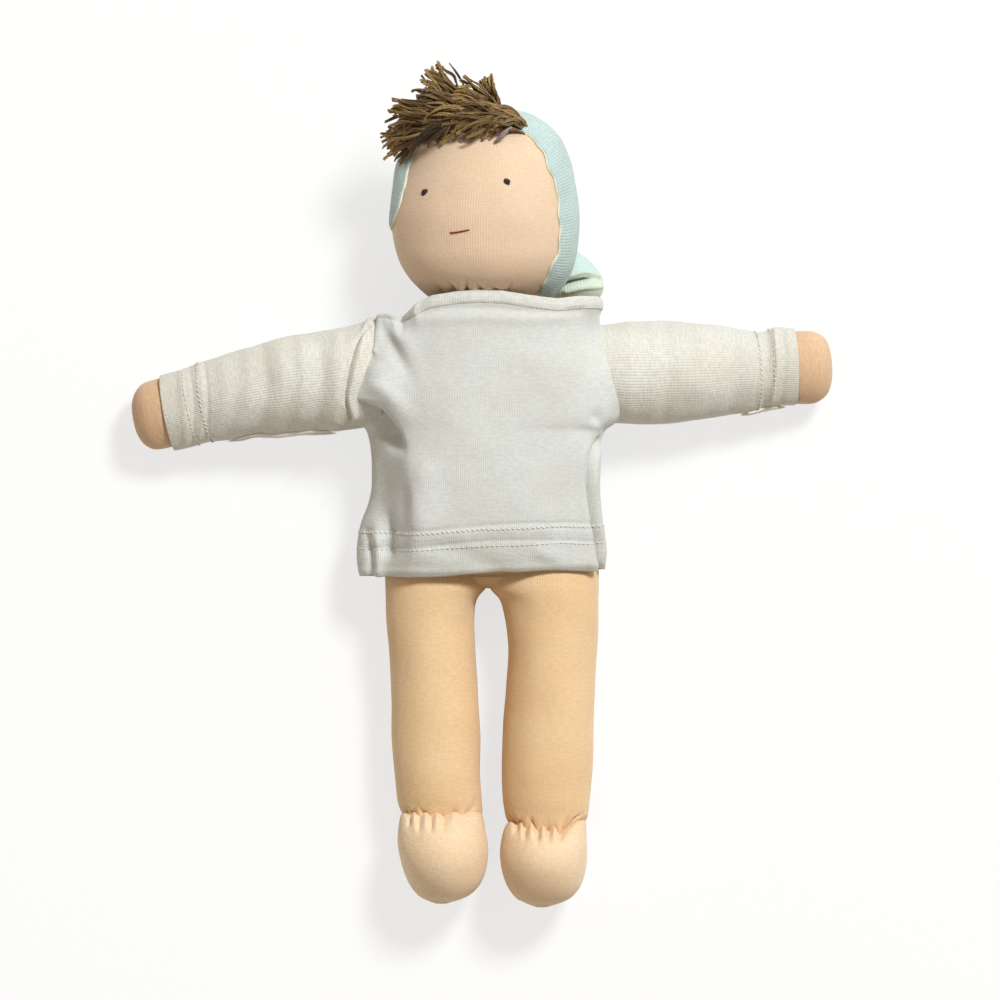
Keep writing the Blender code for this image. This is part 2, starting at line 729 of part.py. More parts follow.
def make_hair(parts, cutters, axis, centre, world_centre):
    """A fringe of short yarn locks, sewn on along the brow."""
    pad_path = [head_point(share) for share in HAIR_PAD_SHARES]
    pad = tube("hair roots", pad_path, HAIR_ROOT_RADIUS, cutters)
    pad = mesh_copy_of_tube(pad, cutters)
    pad.location = world_centre
    hide_cutter(pad)
    builder = bmesh.new()
    for root, tip in HAIR_LOCK_SHARES:
        add_lock(builder, head_point(root), head_point(tip))
    hair = add_object("hair_fringe", mesh_from(builder), parts, HAIR_YARN, axis)
    hair.location = centre
    joined = boolean(hair, pad, "UNION")
    joined.use_self = True
    scalp = ball_cutter("cap and brow ball", world_centre, CAP_RADIUS + SEAT_GAP, cutters)
    boolean(hair, scalp, "DIFFERENCE")
    edge = tube(
        "room for the cap edge", binding_path(CAP_RADIUS + SEAT_GAP + CAP_BINDING_RADIUS),
        CAP_BINDING_RADIUS + SEAT_GAP, cutters)
    edge = mesh_copy_of_tube(edge, cutters)
    edge.location = world_centre
    hide_cutter(edge)
    boolean(hair, edge, "DIFFERENCE")


# Arms


def straight_rings(rows, inset=0.0):
    """Round rings along +X from rows of (distance, radius)."""
    rings = []
    for distance, radius in rows:
        size = radius - inset
        rings.append((
            Vector((distance, 0.0, 0.0)), Vector((0.0, size, 0.0)), Vector((0.0, 0.0, size))))
    return rings


def sleeve_rows():
    """The sleeve's head follows the shoulder ball, and then it tapers."""
    rows = []
    for share in SLEEVE_BALL_SHARES:
        distance = SLEEVE_ROOT * share
        rows.append((-distance, math.sqrt(SLEEVE_RADIUS ** 2 - distance ** 2)))
    for along, wide in SLEEVE_ROW_SHARES:
        rows.append((SLEEVE_LENGTH * along, SLEEVE_RADIUS * wide))
    return rows


def arm_rows():
    rows = [(ARM_LENGTH * along, SLEEVE_RADIUS * wide) for along, wide in ARM_ROW_SHARES]
    rows += [(ARM_LENGTH * along, HAND_RADIUS * wide) for along, wide in HAND_ROW_SHARES]
    return rows


def make_arm(side, parts, axis, floor):
    """A stuffed arm with its hand, in a knitted sleeve."""
    sleeve = add_object(
        f"{side}_sleeve", loft_cage(straight_rings(sleeve_rows()), 10, 1), parts,
        SHIRT_KNIT, axis)
    smooth(sleeve)
    subdivide(sleeve, 1)
    thicken(sleeve, SHIRT_THICKNESS)
    boolean(sleeve, floor, "DIFFERENCE")
    skin = add_object(
        f"{side}_arm_skin", loft_cage(straight_rings(arm_rows()), 8, 1, closed=(False, True)),
        parts, HAND_SKIN, axis)
    rings = draw_in_ends(straight_rings(arm_rows(), SKIN_INSET), SKIN_INSET)
    core = add_object(
        f"{side}_arm_stuffing", loft_cage(rings, 6, 1, closed=(True, True)), parts, WOOL,
        axis)
    for item in (skin, core):
        smooth(item)
        subdivide(item, 1)
    thicken(skin, SKIN_THICKNESS)
    boolean(skin, floor, "DIFFERENCE")


# Legs and feet


def leg_rings(inset=0.0):
    """Rings down the leg, from a ball at the hip to a ball at the ankle."""
    across = Vector((1.0, 0.0, 0.0))
    up = Vector((0.0, 0.0, 1.0))
    rings = []
    for share in HIP_BALL_SHARES:
        distance = LEG_ROOT * share
        size = math.sqrt(LEG_RADIUS ** 2 - distance ** 2) - inset
        rings.append((Vector((0.0, distance, 0.0)), across * size, up * size))
    for along, wide, low, high in LEG_ROW_SHARES:
        bottom = LEG_DEPTH * low + inset
        top = LEG_DEPTH * high - inset
        middle = Vector((0.0, -LEG_LENGTH * along, (bottom + top) / 2.0 - HIP_LIFT))
        rings.append((middle, across * (LEG_RADIUS * wide - inset), up * (top - bottom) / 2.0))
    ball = ANKLE_RADIUS - inset
    for share in ANKLE_BALL_SHARES:
        distance = ball * share
        size = math.sqrt(ball ** 2 - distance ** 2)
        drop = LEG_LENGTH + distance * ANKLE_BALL_FULLNESS
        middle = Vector((0.0, -drop, ANKLE_LIFT - HIP_LIFT))
        rings.append((middle, across * size, up * size))
    return rings


def make_leg(side, parts, axis, floor):
    skin = add_object(
        f"{side}_leg_skin", loft_cage(leg_rings(), 10, 1, closed=(False, True)), parts,
        LEG_SKIN, axis)
    rings = leg_rings(SKIN_INSET)
    rings = draw_in_ends(rings, SKIN_INSET)
    core = add_object(
        f"{side}_leg_stuffing", loft_cage(rings, 6, 1, closed=(True, True)), parts, WOOL,
        axis)
    for item in (skin, core):
        smooth(item)
        subdivide(item, 1)
    thicken(skin, SKIN_THICKNESS)
    boolean(skin, floor, "DIFFERENCE")


def foot_rings(inset=0.0):
    rings = []
    for along, wide, low, high in FOOT_ROW_SHARES:
        bottom = FOOT_DEPTH * low + inset
        top = FOOT_DEPTH * high - inset
        middle = Vector((
            0.0, -FOOT_NECK - (FOOT_LENGTH - FOOT_NECK) * along, (bottom + top) / 2.0 - ANKLE_LIFT))
        across = Vector((FOOT_HALF_WIDTH * wide - inset, 0.0, 0.0))
        up = Vector((0.0, 0.0, (top - bottom) / 2.0))
        rings.append((middle, across, up))
    return rings


def make_foot(side, parts, cutters, axis, leg_axis, ankle, floor):
    """A stuffed foot, and the thread that draws the ankle in above it."""
    skin = add_object(
        f"{side}_foot_skin", loft_cage(foot_rings(), 8, 1, closed=(False, True)), parts,
        FOOT_SKIN, axis)
    rings = draw_in_ends(foot_rings(SKIN_INSET), SKIN_INSET)
    core = add_object(
        f"{side}_foot_stuffing", loft_cage(rings, 6, 1, closed=(True, True)), parts, WOOL, axis)
    for item in (skin, core):
        smooth(item)
        subdivide(item, 1)
    thicken(skin, SKIN_THICKNESS)
    socket = ball_cutter(f"{side} ankle socket", ankle, ANKLE_RADIUS + JOINT_GAP, cutters)
    for item in (skin, core):
        boolean(item, socket, "DIFFERENCE")
    boolean(skin, floor, "DIFFERENCE")
    points = []
    radius = ANKLE_RADIUS + SEAT_GAP * 2.0 + THREAD_RADIUS
    for step in range(ANKLE_TUCKS * 2 + 1):
        angle = (math.pi - ANKLE_THREAD_SWEEP) / 2.0 + ANKLE_THREAD_SWEEP * step / (ANKLE_TUCKS * 2)
        shift = ANKLE_TUCK_DEPTH / 2.0 * (1.0 if step % 2 else -1.0)
        points.append(Vector((radius * math.cos(angle), shift, radius * math.sin(angle))))
    thread = tube(f"{side}_ankle_thread", points, THREAD_RADIUS, parts, SEWING_THREAD, leg_axis)
    thread.location = (0.0, -LEG_LENGTH, ANKLE_LIFT - HIP_LIFT)


def build_doll():
    clear_scene()
    parts = make_collection("waldorf_doll")
    guides = make_collection("joint axes")
    cutters = make_collection("cutters")
    reach = SHIRT_LENGTH * 3.0
    floor = box_cutter(
        "table", Vector((-reach, -reach, -CUT_OVERRUN)), Vector((reach, reach, 0.0)), cutters)
    shoulders = [
        ball_cutter(f"{side} shoulder socket", pivot, SLEEVE_RADIUS + JOINT_GAP, cutters)
        for side, pivot in SHOULDER_PIVOTS.items()]
    hips = [
        ball_cutter(f"{side} hip socket", pivot, LEG_RADIUS + JOINT_GAP, cutters)
        for side, pivot in HIP_PIVOTS.items()]
    thigh_room = Vector((0.0, -THIGH_ROOM_DROP, THIGH_ROOM_LIFT))
    thighs = [
        ball_cutter(f"{side} thigh room", pivot + thigh_room, LEG_RADIUS + JOINT_GAP, cutters)
        for side, pivot in HIP_PIVOTS.items()]
    bore_length = NECK_DEPTH + SEAT_GAP * 2.0 + CUT_OVERRUN
    bore_middle = NECK_PIVOT + Vector((0.0, bore_length / 2.0 - NECK_DEPTH - SEAT_GAP * 2.0, 0.0))
    neck_bore = rod_cutter(
        "neck bore", bore_middle, NECK_RADIUS + JOINT_GAP, bore_length, cutters,
        (math.pi / 2.0, 0.0, 0.0))
    make_shirt(parts, cutters, shoulders + hips)
    make_trunk(parts, shoulders + hips + thighs, neck_bore)

    turn_axis = add_axis("head turn axis", NECK_PIVOT, guides)
    nod_axis = add_axis("head nod axis", (0.0, 0.0, 0.0), guides, turn_axis)
    centre = HEAD_CENTRE - NECK_PIVOT
    socket = ball_cutter("neck socket", NECK_PIVOT, NECK_RADIUS + JOINT_GAP, cutters)
    make_neck(parts, turn_axis)
    make_head(parts, nod_axis, socket, centre)
    make_face(parts, nod_axis, centre)
    make_cap(parts, cutters, nod_axis, centre, HEAD_CENTRE, floor)
    make_hair(parts, cutters, nod_axis, centre, HEAD_CENTRE)

    for side, pivot in SHOULDER_PIVOTS.items():
        arm_axis = add_axis(
            f"{side} shoulder axis", pivot, guides, turn=(0.0, ARM_DIP, ARM_HEADINGS[side]))
        make_arm(side, parts, arm_axis, floor)
    for side, pivot in HIP_PIVOTS.items():
        leg_axis = add_axis(f"{side} hip axis", pivot, guides, turn=(0.0, 0.0, LEG_LEANS[side]))
        make_leg(side, parts, leg_axis, floor)
        drop = Vector((0.0, -LEG_LENGTH, ANKLE_LIFT - HIP_LIFT))
        foot_axis = add_axis(f"{side} ankle axis", drop, guides, leg_axis)
        ankle = pivot + Matrix.Rotation(LEG_LEANS[side], 3, "Z") @ drop
        make_foot(side, parts, cutters, foot_axis, leg_axis, ankle, floor)
    bpy.context.view_layer.update()


build_doll()
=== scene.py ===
import json
import math

import bmesh
import bpy
import numpy as np
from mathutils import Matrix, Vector, noise
from mathutils.bvhtree import BVHTree


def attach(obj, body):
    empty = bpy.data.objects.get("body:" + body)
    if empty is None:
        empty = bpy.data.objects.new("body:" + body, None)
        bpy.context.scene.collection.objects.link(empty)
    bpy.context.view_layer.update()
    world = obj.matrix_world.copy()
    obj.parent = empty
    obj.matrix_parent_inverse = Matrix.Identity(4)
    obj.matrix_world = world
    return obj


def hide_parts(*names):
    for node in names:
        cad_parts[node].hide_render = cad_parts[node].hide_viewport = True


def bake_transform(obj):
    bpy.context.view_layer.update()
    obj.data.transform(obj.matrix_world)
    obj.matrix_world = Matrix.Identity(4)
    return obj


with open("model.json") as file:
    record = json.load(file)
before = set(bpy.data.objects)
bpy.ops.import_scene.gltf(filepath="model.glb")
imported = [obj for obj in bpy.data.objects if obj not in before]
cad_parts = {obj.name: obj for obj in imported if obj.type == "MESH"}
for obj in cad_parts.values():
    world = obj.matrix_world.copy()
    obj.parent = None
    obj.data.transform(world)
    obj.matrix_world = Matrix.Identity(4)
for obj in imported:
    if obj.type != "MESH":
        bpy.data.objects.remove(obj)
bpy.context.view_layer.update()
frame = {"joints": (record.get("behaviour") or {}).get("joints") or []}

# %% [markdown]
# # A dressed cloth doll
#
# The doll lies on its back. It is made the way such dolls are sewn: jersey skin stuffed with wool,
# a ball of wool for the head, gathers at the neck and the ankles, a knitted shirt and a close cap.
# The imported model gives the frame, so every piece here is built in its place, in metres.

MM = 0.001

# %% [markdown]
# ## Reading the photograph
#
# The photograph looks straight down on the doll. One of its pixels is 0.36 mm, and pixel (487, 450)
# lies over the origin. A place read from the picture therefore turns into millimetres by one rule.
# Only outlines and folds are read this way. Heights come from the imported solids.

# %% From pixels to the frame, and back
PIXEL = 0.36 * MM
PICTURE_MIDDLE = (487.0, 450.0)


def over(across, down, height=0.0):
    """The point over a pixel of the photograph, at a height above the table."""
    return Vector((
        (across - PICTURE_MIDDLE[0]) * PIXEL, (PICTURE_MIDDLE[1] - down) * PIXEL, height))


def pixels_of(points):
    """The pixels, across and down, that lie over points of the frame."""
    return points[..., 0] / PIXEL + PICTURE_MIDDLE[0], PICTURE_MIDDLE[1] - points[..., 1] / PIXEL


def joint_place(name):
    """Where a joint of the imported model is."""
    return next(joint for joint in frame["joints"] if joint["name"] == name)["pos_m"]


print("the photograph's corner lies at", tuple(round(v, 3) for v in over(0.0, 0.0)))
print("the neck lies under pixel", [round(float(v)) for v in pixels_of(np.array(joint_place("head_nod")))])

# %% [markdown]
# ## Camera
#
# The camera looks straight down, as in the photograph. It stands far away with a long lens, so that
# high places don't lean outwards and the rule above holds for all of them.

# %% Camera
VIEW_WIDTH = 1000.0 * PIXEL
CAMERA_DISTANCE = 6.0
FOCUS_HEIGHT = 25.0 * MM
lens = bpy.data.cameras.new("camera")
lens.lens = CAMERA_DISTANCE / VIEW_WIDTH * lens.sensor_width
camera = bpy.data.objects.new("camera", lens)
camera.location = over(500.0, 500.0, CAMERA_DISTANCE + FOCUS_HEIGHT)
bpy.context.scene.collection.objects.link(camera)
bpy.context.scene.camera = camera
print("lens", round(lens.lens), "mm")

# %% [markdown]
# ## Smooth rows
#
# A stuffed limb or a sleeve is a tube. Its outline is a handful of rows, and each row has a place
# along the tube, two edges, and a lowest and a highest point. `flow` draws a smooth line through the
# rows, spaced by the distance between them, so that blunt ends stay round.

# %% Rows into a grid of points
def steps_along(points):
    """Distances from each point, or row of points, to the next."""
    return np.linalg.norm(np.diff(points, axis=0), axis=-1)


def running(lengths):
    """Lengths added up, starting at zero."""
    return np.concatenate(([0.0], np.cumsum(lengths)))


def flow(rows, count):
    """Count rows, spread evenly along a smooth line through the given ones."""
    rows = np.array(rows, float)
    places = running(steps_along(rows))
    slopes = np.gradient(rows, places, axis=0)
    wanted = np.linspace(0.0, places[-1], count)
    before = np.clip(np.searchsorted(places, wanted, side="right") - 1, 0, len(rows) - 2)
    span = places[before + 1] - places[before]
    t = ((wanted - places[before]) / span)[:, None]
    span = span[:, None]
    start, end = rows[before], rows[before + 1]
    return (
        start * (2 * t ** 3 - 3 * t ** 2 + 1) + end * (3 * t ** 2 - 2 * t ** 3)
        + slopes[before] * span * (t ** 3 - 2 * t ** 2 + t)
        + slopes[before + 1] * span * (t ** 3 - t ** 2))


def section(around, power=2.0, front=0.5):
    """Across and up of a unit outline, round at power 2 and squarer above it.

    Front is the share of the points on its upper half.
    """
    upper = round(around * front)
    turn = math.pi * np.concatenate((
        np.arange(upper) / upper, 1.0 + np.arange(around - upper) / (around - upper)))
    across = np.sign(np.cos(turn)) * np.abs(np.cos(turn)) ** (2.0 / power)
    up = np.sign(np.sin(turn)) * np.abs(np.sin(turn)) ** (2.0 / power)
    return across, up


def picture_tube(rows, along, around, power=2.0, front=0.5):
    """A tube that lies up and down in the picture.

    Each row is (down, left, right) in pixels and (low, high) in millimetres.
    """
    fine = flow(rows, along)
    across, up = section(around, power, front)
    down, left, right = fine[:, 0:1], fine[:, 1:2], fine[:, 2:3]
    low, high = fine[:, 3:4] * MM, fine[:, 4:5] * MM
    x = ((left + right) / 2.0 - PICTURE_MIDDLE[0] + (right - left) / 2.0 * across) * PIXEL
    y = (PICTURE_MIDDLE[1] - down) * PIXEL + 0.0 * across
    z = (low + high) / 2.0 + (high - low) / 2.0 * up
    return np.stack((x, y, z), axis=2)


def limb_tube(rows, along, around, pivot, heading, dip, slant=0.0):
    """A tube along a limb from its joint.

    Each row is (distance, half width, half depth, shift to the side), in mm. Slant, in mm, leans
    the first rows, as an armhole leans.
    """
    fine = flow(rows, along) * MM
    across, up = section(around)
    way = Vector((math.cos(heading) * math.cos(dip), math.sin(heading) * math.cos(dip), -math.sin(dip)))
    side = Vector((-math.sin(heading), math.cos(heading), 0.0))
    top = way.cross(side)
    lean = np.linspace(1.0, 0.0, along)[:, None] ** 4 * across[None, :] * slant * MM
    grid = np.array(pivot) + (fine[:, 0:1] + lean)[:, :, None] * np.array(way)
    grid = grid + (fine[:, 3:4] + fine[:, 1:2] * across)[:, :, None] * np.array(side)
    return grid + fine[:, 2:3, None] * up[None, :, None] * np.array(top)


print("a smooth line through three places:", flow([(0, 0), (1, 1), (2, 0)], 5).round(2).tolist())

# %% [markdown]
# ## Shaping a grid
#
# Cloth is never a clean tube. Wool makes lumps, a table presses it flat, and pulled cloth folds.
# These helpers push the points of a grid along its own normals. A noise field could make folds as
# well, but they would fall anywhere. Here they are drawn as lines on the photograph, each with a width
# in pixels and a height in millimetres, so they fall where the picture shows them.

# %% Normals and lumps
def normals_of(grid):
    """Outward normals of a grid that closes round its second direction."""
    around = np.roll(grid, -1, axis=1) - np.roll(grid, 1, axis=1)
    along = np.gradient(grid, axis=0)
    normal = np.cross(around, along)
    normal /= np.maximum(np.linalg.norm(normal, axis=2, keepdims=True), 1e-12)
    middle = grid.mean(axis=1, keepdims=True)
    outward = np.sign(((grid - middle) * normal).sum())
    return normal * outward


def lumps(grid, height, size, seed):
    """Soft unevenness, as of wool under jersey."""
    shift = Vector((seed * 7.1, seed * 3.7, seed * 1.3))
    flat = grid.reshape(-1, 3)
    swell = np.array([noise.noise(Vector(point) / size + shift) for point in flat])
    return grid + normals_of(grid) * (swell.reshape(grid.shape[:2]) * height)[:, :, None]


def soften(grid, times):
    """Even out a grid round its second direction."""
    for _ in range(times):
        grid = (np.roll(grid, 1, axis=1) + grid * 2.0 + np.roll(grid, -1, axis=1)) / 4.0
    return grid


# %% Folds and the table
FLOOR_LIFT = 0.3 * MM
FLOOR_SOFTNESS = 2.0 * MM
SIDE_FADE = 0.3


def distance_to(grid, path):
    """Distance in pixels from each point to a line drawn on the photograph, and the place along it."""
    across, down = pixels_of(grid)
    best = np.full(across.shape, 1e9)
    place = np.zeros(across.shape)
    pieces = len(path) - 1
    for number, ((x0, y0), (x1, y1)) in enumerate(zip(path[:-1], path[1:])):
        dx, dy = x1 - x0, y1 - y0
        t = np.clip(((across - x0) * dx + (down - y0) * dy) / (dx * dx + dy * dy), 0.0, 1.0)
        far = np.hypot(across - x0 - t * dx, down - y0 - t * dy)
        place = np.where(far < best, (number + t) / pieces, place)
        best = np.minimum(best, far)
    return best, place


def ease(share):
    """A share from 0 to 1 that starts and ends gently."""
    return share * share * (3.0 - 2.0 * share)


def folds(grid, drawn):
    """Raise or sink the cloth along drawn lines, where it faces up.

    Each is (path, width, height), or has two more shares: how much of it fades in, and fades out.
    """
    normal = normals_of(grid)
    front = np.clip(normal[:, :, 2] / SIDE_FADE, 0.0, 1.0)
    shift = np.zeros(grid.shape[:2])
    for path, width, height, *fades in drawn:
        far, place = distance_to(grid, flow(path, 20) if len(path) > 2 else path)
        strength = height * MM * np.exp(-(far / width) ** 2)
        if fades:
            rise = np.clip(place / max(fades[0], 1e-6), 0.0, 1.0)
            fall = np.clip((1.0 - place) / max(fades[1], 1e-6), 0.0, 1.0)
            strength = strength * ease(rise) * ease(fall)
        shift += strength
    return grid + normal * (shift * front)[:, :, None]


def press(grid, lift=FLOOR_LIFT, softness=FLOOR_SOFTNESS):
    """Lay the underside on the table, with a rounded edge where it leaves."""
    grid = grid.copy()
    height = (grid[:, :, 2] - lift) / softness
    grid[:, :, 2] = lift + softness * np.logaddexp(0.0, height * 2.0) / 2.0
    return grid


deepest = press(np.array([[(0.0, 0.0, -10.0 * MM)]]))[0, 0, 2]
print("cloth that would be 10 mm under the table lies", round(float(deepest / MM), 2), "mm over it")

# %% [markdown]
# ## Stuffing
#
# Wool pushes the jersey outwards until the cloth is tight, and less so beside a gather. That is a job
# for a cloth simulation. A coarse copy of the form is blown up as cloth with a little slack, its ends
# held, and the move of each point is capped. The fine grid then takes over the moves, smoothed between
# the coarse points. The fine grid has over ten times as many points, which would be slow to simulate.

# %% Blowing up a form
SIMULATION_FRAMES = 20
COARSE_ROWS = 44
COARSE_AROUND = 40
SLACK = 0.02


def coarse_cloth(grid):
    """A closed mesh of a coarse grid, with its two ends in a group that holds them."""
    rows, around = grid.shape[:2]
    points = [tuple(point) for row in grid for point in row]
    faces = [
        (row * around + step, row * around + (step + 1) % around,
         (row + 1) * around + (step + 1) % around, (row + 1) * around + step)
        for row in range(rows - 1) for step in range(around)]
    faces.append(tuple(reversed(range(around))))
    faces.append(tuple((rows - 1) * around + step for step in range(around)))
    mesh = bpy.data.meshes.new("coarse")
    mesh.from_pydata(points, [], faces)
    body = bpy.data.objects.new("coarse", mesh)
    bpy.context.scene.collection.objects.link(body)
    group = body.vertex_groups.new(name="held")
    group.add([*range(2 * around), *range((rows - 2) * around, rows * around)], 1.0, "REPLACE")
    return body


def drawn_out(values, places, count, axis):
    """Values known at a few places along an axis, as count even ones."""
    return np.apply_along_axis(lambda line: np.interp(np.arange(count), places, line), axis, values)


def plump(grid, pressure=4.0, cap=0.8):
    """Blow up a padded form as cloth, each point moving cap millimetres at most."""
    rows, around = grid.shape[:2]
    row_places = np.linspace(0.0, rows - 1.0, COARSE_ROWS)
    step_places = np.arange(COARSE_AROUND) * around / COARSE_AROUND
    coarse = grid[row_places.round().astype(int)][:, step_places.round().astype(int) % around]
    body = coarse_cloth(coarse)
    cloth_setup = body.modifiers.new("cloth", "CLOTH")
    cloth_setup.settings.use_pressure = True
    cloth_setup.settings.uniform_pressure_force = pressure
    cloth_setup.settings.effector_weights.gravity = 0.0
    cloth_setup.settings.shrink_min = -SLACK
    cloth_setup.settings.vertex_group_mass = "held"
    for number in range(1, SIMULATION_FRAMES + 1):
        bpy.context.scene.frame_set(number)
    shown = body.evaluated_get(bpy.context.evaluated_depsgraph_get())
    moved = np.array([tuple(vertex.co) for vertex in shown.data.vertices]).reshape(coarse.shape)
    bpy.data.objects.remove(body)
    bpy.context.scene.frame_set(1)
    shift = moved - coarse
    size = np.linalg.norm(shift, axis=2, keepdims=True)
    shift *= np.minimum(1.0, cap * MM / np.maximum(size, 1e-9))
    shift = soften(shift, 2)
    looped = np.concatenate((shift, shift[:, :1]), axis=1)
    wide = drawn_out(looped, np.concatenate((step_places, [around])), around, 1)
    print("blown up by", round(float(size.mean() / MM), 2), "mm on average before the cap")
    return grid + drawn_out(wide, row_places, rows, 0)


# %% [markdown]
# ## Grids into cloth
#
# Jersey is knitted in columns, called wales, and rows, called courses. The grid's own directions
# follow them, so the texture coordinates hold metres round and along the tube. A weave drawn on
# them keeps its real size and bends with the cloth. Stuffed pieces have closed ends. A sheet stays
# open at its edges, and a Solidify modifier gives it a wall.

# %% Mesh from a grid
def cloth(name, grid, finish, closed=(False, False), wall=0.0):
    """A tube of cloth with texture coordinates in metres."""
    rows, around = grid.shape[:2]
    builder = bmesh.new()
    points = [[builder.verts.new(point) for point in row] for row in grid]
    layer = builder.loops.layers.uv.new("weave")
    gaps = np.linalg.norm(np.roll(grid, -1, axis=1) - grid, axis=2)
    girth = gaps.sum(axis=1).max()
    turn = running(gaps.mean(axis=0)) * girth / gaps.mean(axis=0).sum()
    run = running(steps_along(grid).mean(axis=1))
    for row in range(rows - 1):
        for step in range(around):
            after = (step + 1) % around
            face = builder.faces.new((
                points[row][step], points[row][after], points[row + 1][after], points[row + 1][step]))
            left, right = turn[step], turn[step + 1]
            low, high = run[row], run[row + 1]
            for corner, place in zip(face.loops, ((left, low), (right, low), (right, high), (left, high))):
                corner[layer].uv = place
    for row, shut in zip((0, rows - 1), closed):
        if shut:
            pole = builder.verts.new(grid[row].mean(axis=0))
            for step in range(around):
                after = (step + 1) % around
                face = builder.faces.new((points[row][step], points[row][after], pole))
                for corner, place in zip(face.loops, (turn[step], turn[step + 1], turn[step])):
                    corner[layer].uv = (place, run[row])
    bmesh.ops.recalc_face_normals(builder, faces=builder.faces)
    mesh = bpy.data.meshes.new(name)
    builder.to_mesh(mesh)
    builder.free()
    mesh.shade_smooth()
    mesh.materials.append(finish)
    piece = bpy.data.objects.new(name, mesh)
    bpy.context.scene.collection.objects.link(piece)
    if wall:
        edge = piece.modifiers.new("wall", "SOLIDIFY")
        edge.thickness = wall
        edge.offset = -1.0
    print(name, len(mesh.polygons), "faces, girth", round(girth / MM), "mm, run", round(run[-1] / MM), "mm")
    return piece


# %% [markdown]
# ## Knitted finishes
#
# Seen close, jersey is rows of small V shapes. Each wale is a ridge of slanting stitches, so the height
# across it rises and falls once, and is broken along it once for every course. The grooves between the
# wales are darkened in colour, which is painted shade. Beyond that the colour is never even: the fibres
# were dyed in batches, so there is a fine fleck along the courses and a broad, soft mottling. All of it
# is built from the cloth's own texture coordinates.

# %% Small helpers for node trees
def add_node(tree, kind, **settings):
    """A node of a kind, with its settings made."""
    node = tree.nodes.new(kind)
    for name, value in settings.items():
        setattr(node, name, value)
    return node


def calc(tree, operation, first, second=None):
    """A math node fed by sockets or numbers."""
    node = add_node(tree, "ShaderNodeMath", operation=operation)
    for place, value in enumerate((first, second)):
        if value is None:
            continue
        if isinstance(value, (int, float)):
            node.inputs[place].default_value = value
        else:
            tree.links.new(value, node.inputs[place])
    return node.outputs[0]


def blend_colours(tree, share, first, second):
    """Mix two colours by a socket."""
    node = add_node(tree, "ShaderNodeMix", data_type="RGBA")
    tree.links.new(share, node.inputs["Factor"])
    for socket, value in ((node.inputs[6], first), (node.inputs[7], second)):
        if isinstance(value, tuple):
            socket.default_value = (*value, 1.0)
        else:
            tree.links.new(value, socket)
    return node.outputs[2]


def cloud(tree, vector, scale, detail=3.0):
    """A noise texture's value, stretched to use its whole range."""
    node = add_node(tree, "ShaderNodeTexNoise")
    node.inputs["Scale"].default_value = scale
    node.inputs["Detail"].default_value = detail
    tree.links.new(vector, node.inputs["Vector"])
    spread = add_node(tree, "ShaderNodeMapRange", interpolation_type="SMOOTHSTEP")
    spread.inputs["From Min"].default_value = 0.32
    spread.inputs["From Max"].default_value = 0.68
    tree.links.new(node.outputs["Fac"], spread.inputs["Value"])
    return spread.outputs["Result"]


def start_finish(name):
    """A new material, with its tree and its shader."""
    finish = bpy.data.materials.new(name)
    finish.use_nodes = True
    return finish, finish.node_tree, finish.node_tree.nodes["Principled BSDF"]


def raise_surface(tree, shader, height, strength, depth):
    """Let a height from 0 to 1 stand up from the surface by a depth in millimetres."""
    lift = add_node(tree, "ShaderNodeBump")
    lift.inputs["Strength"].default_value = strength
    lift.inputs["Distance"].default_value = depth * MM
    tree.links.new(height, lift.inputs["Height"])
    tree.links.new(lift.outputs["Normal"], shader.inputs["Normal"])


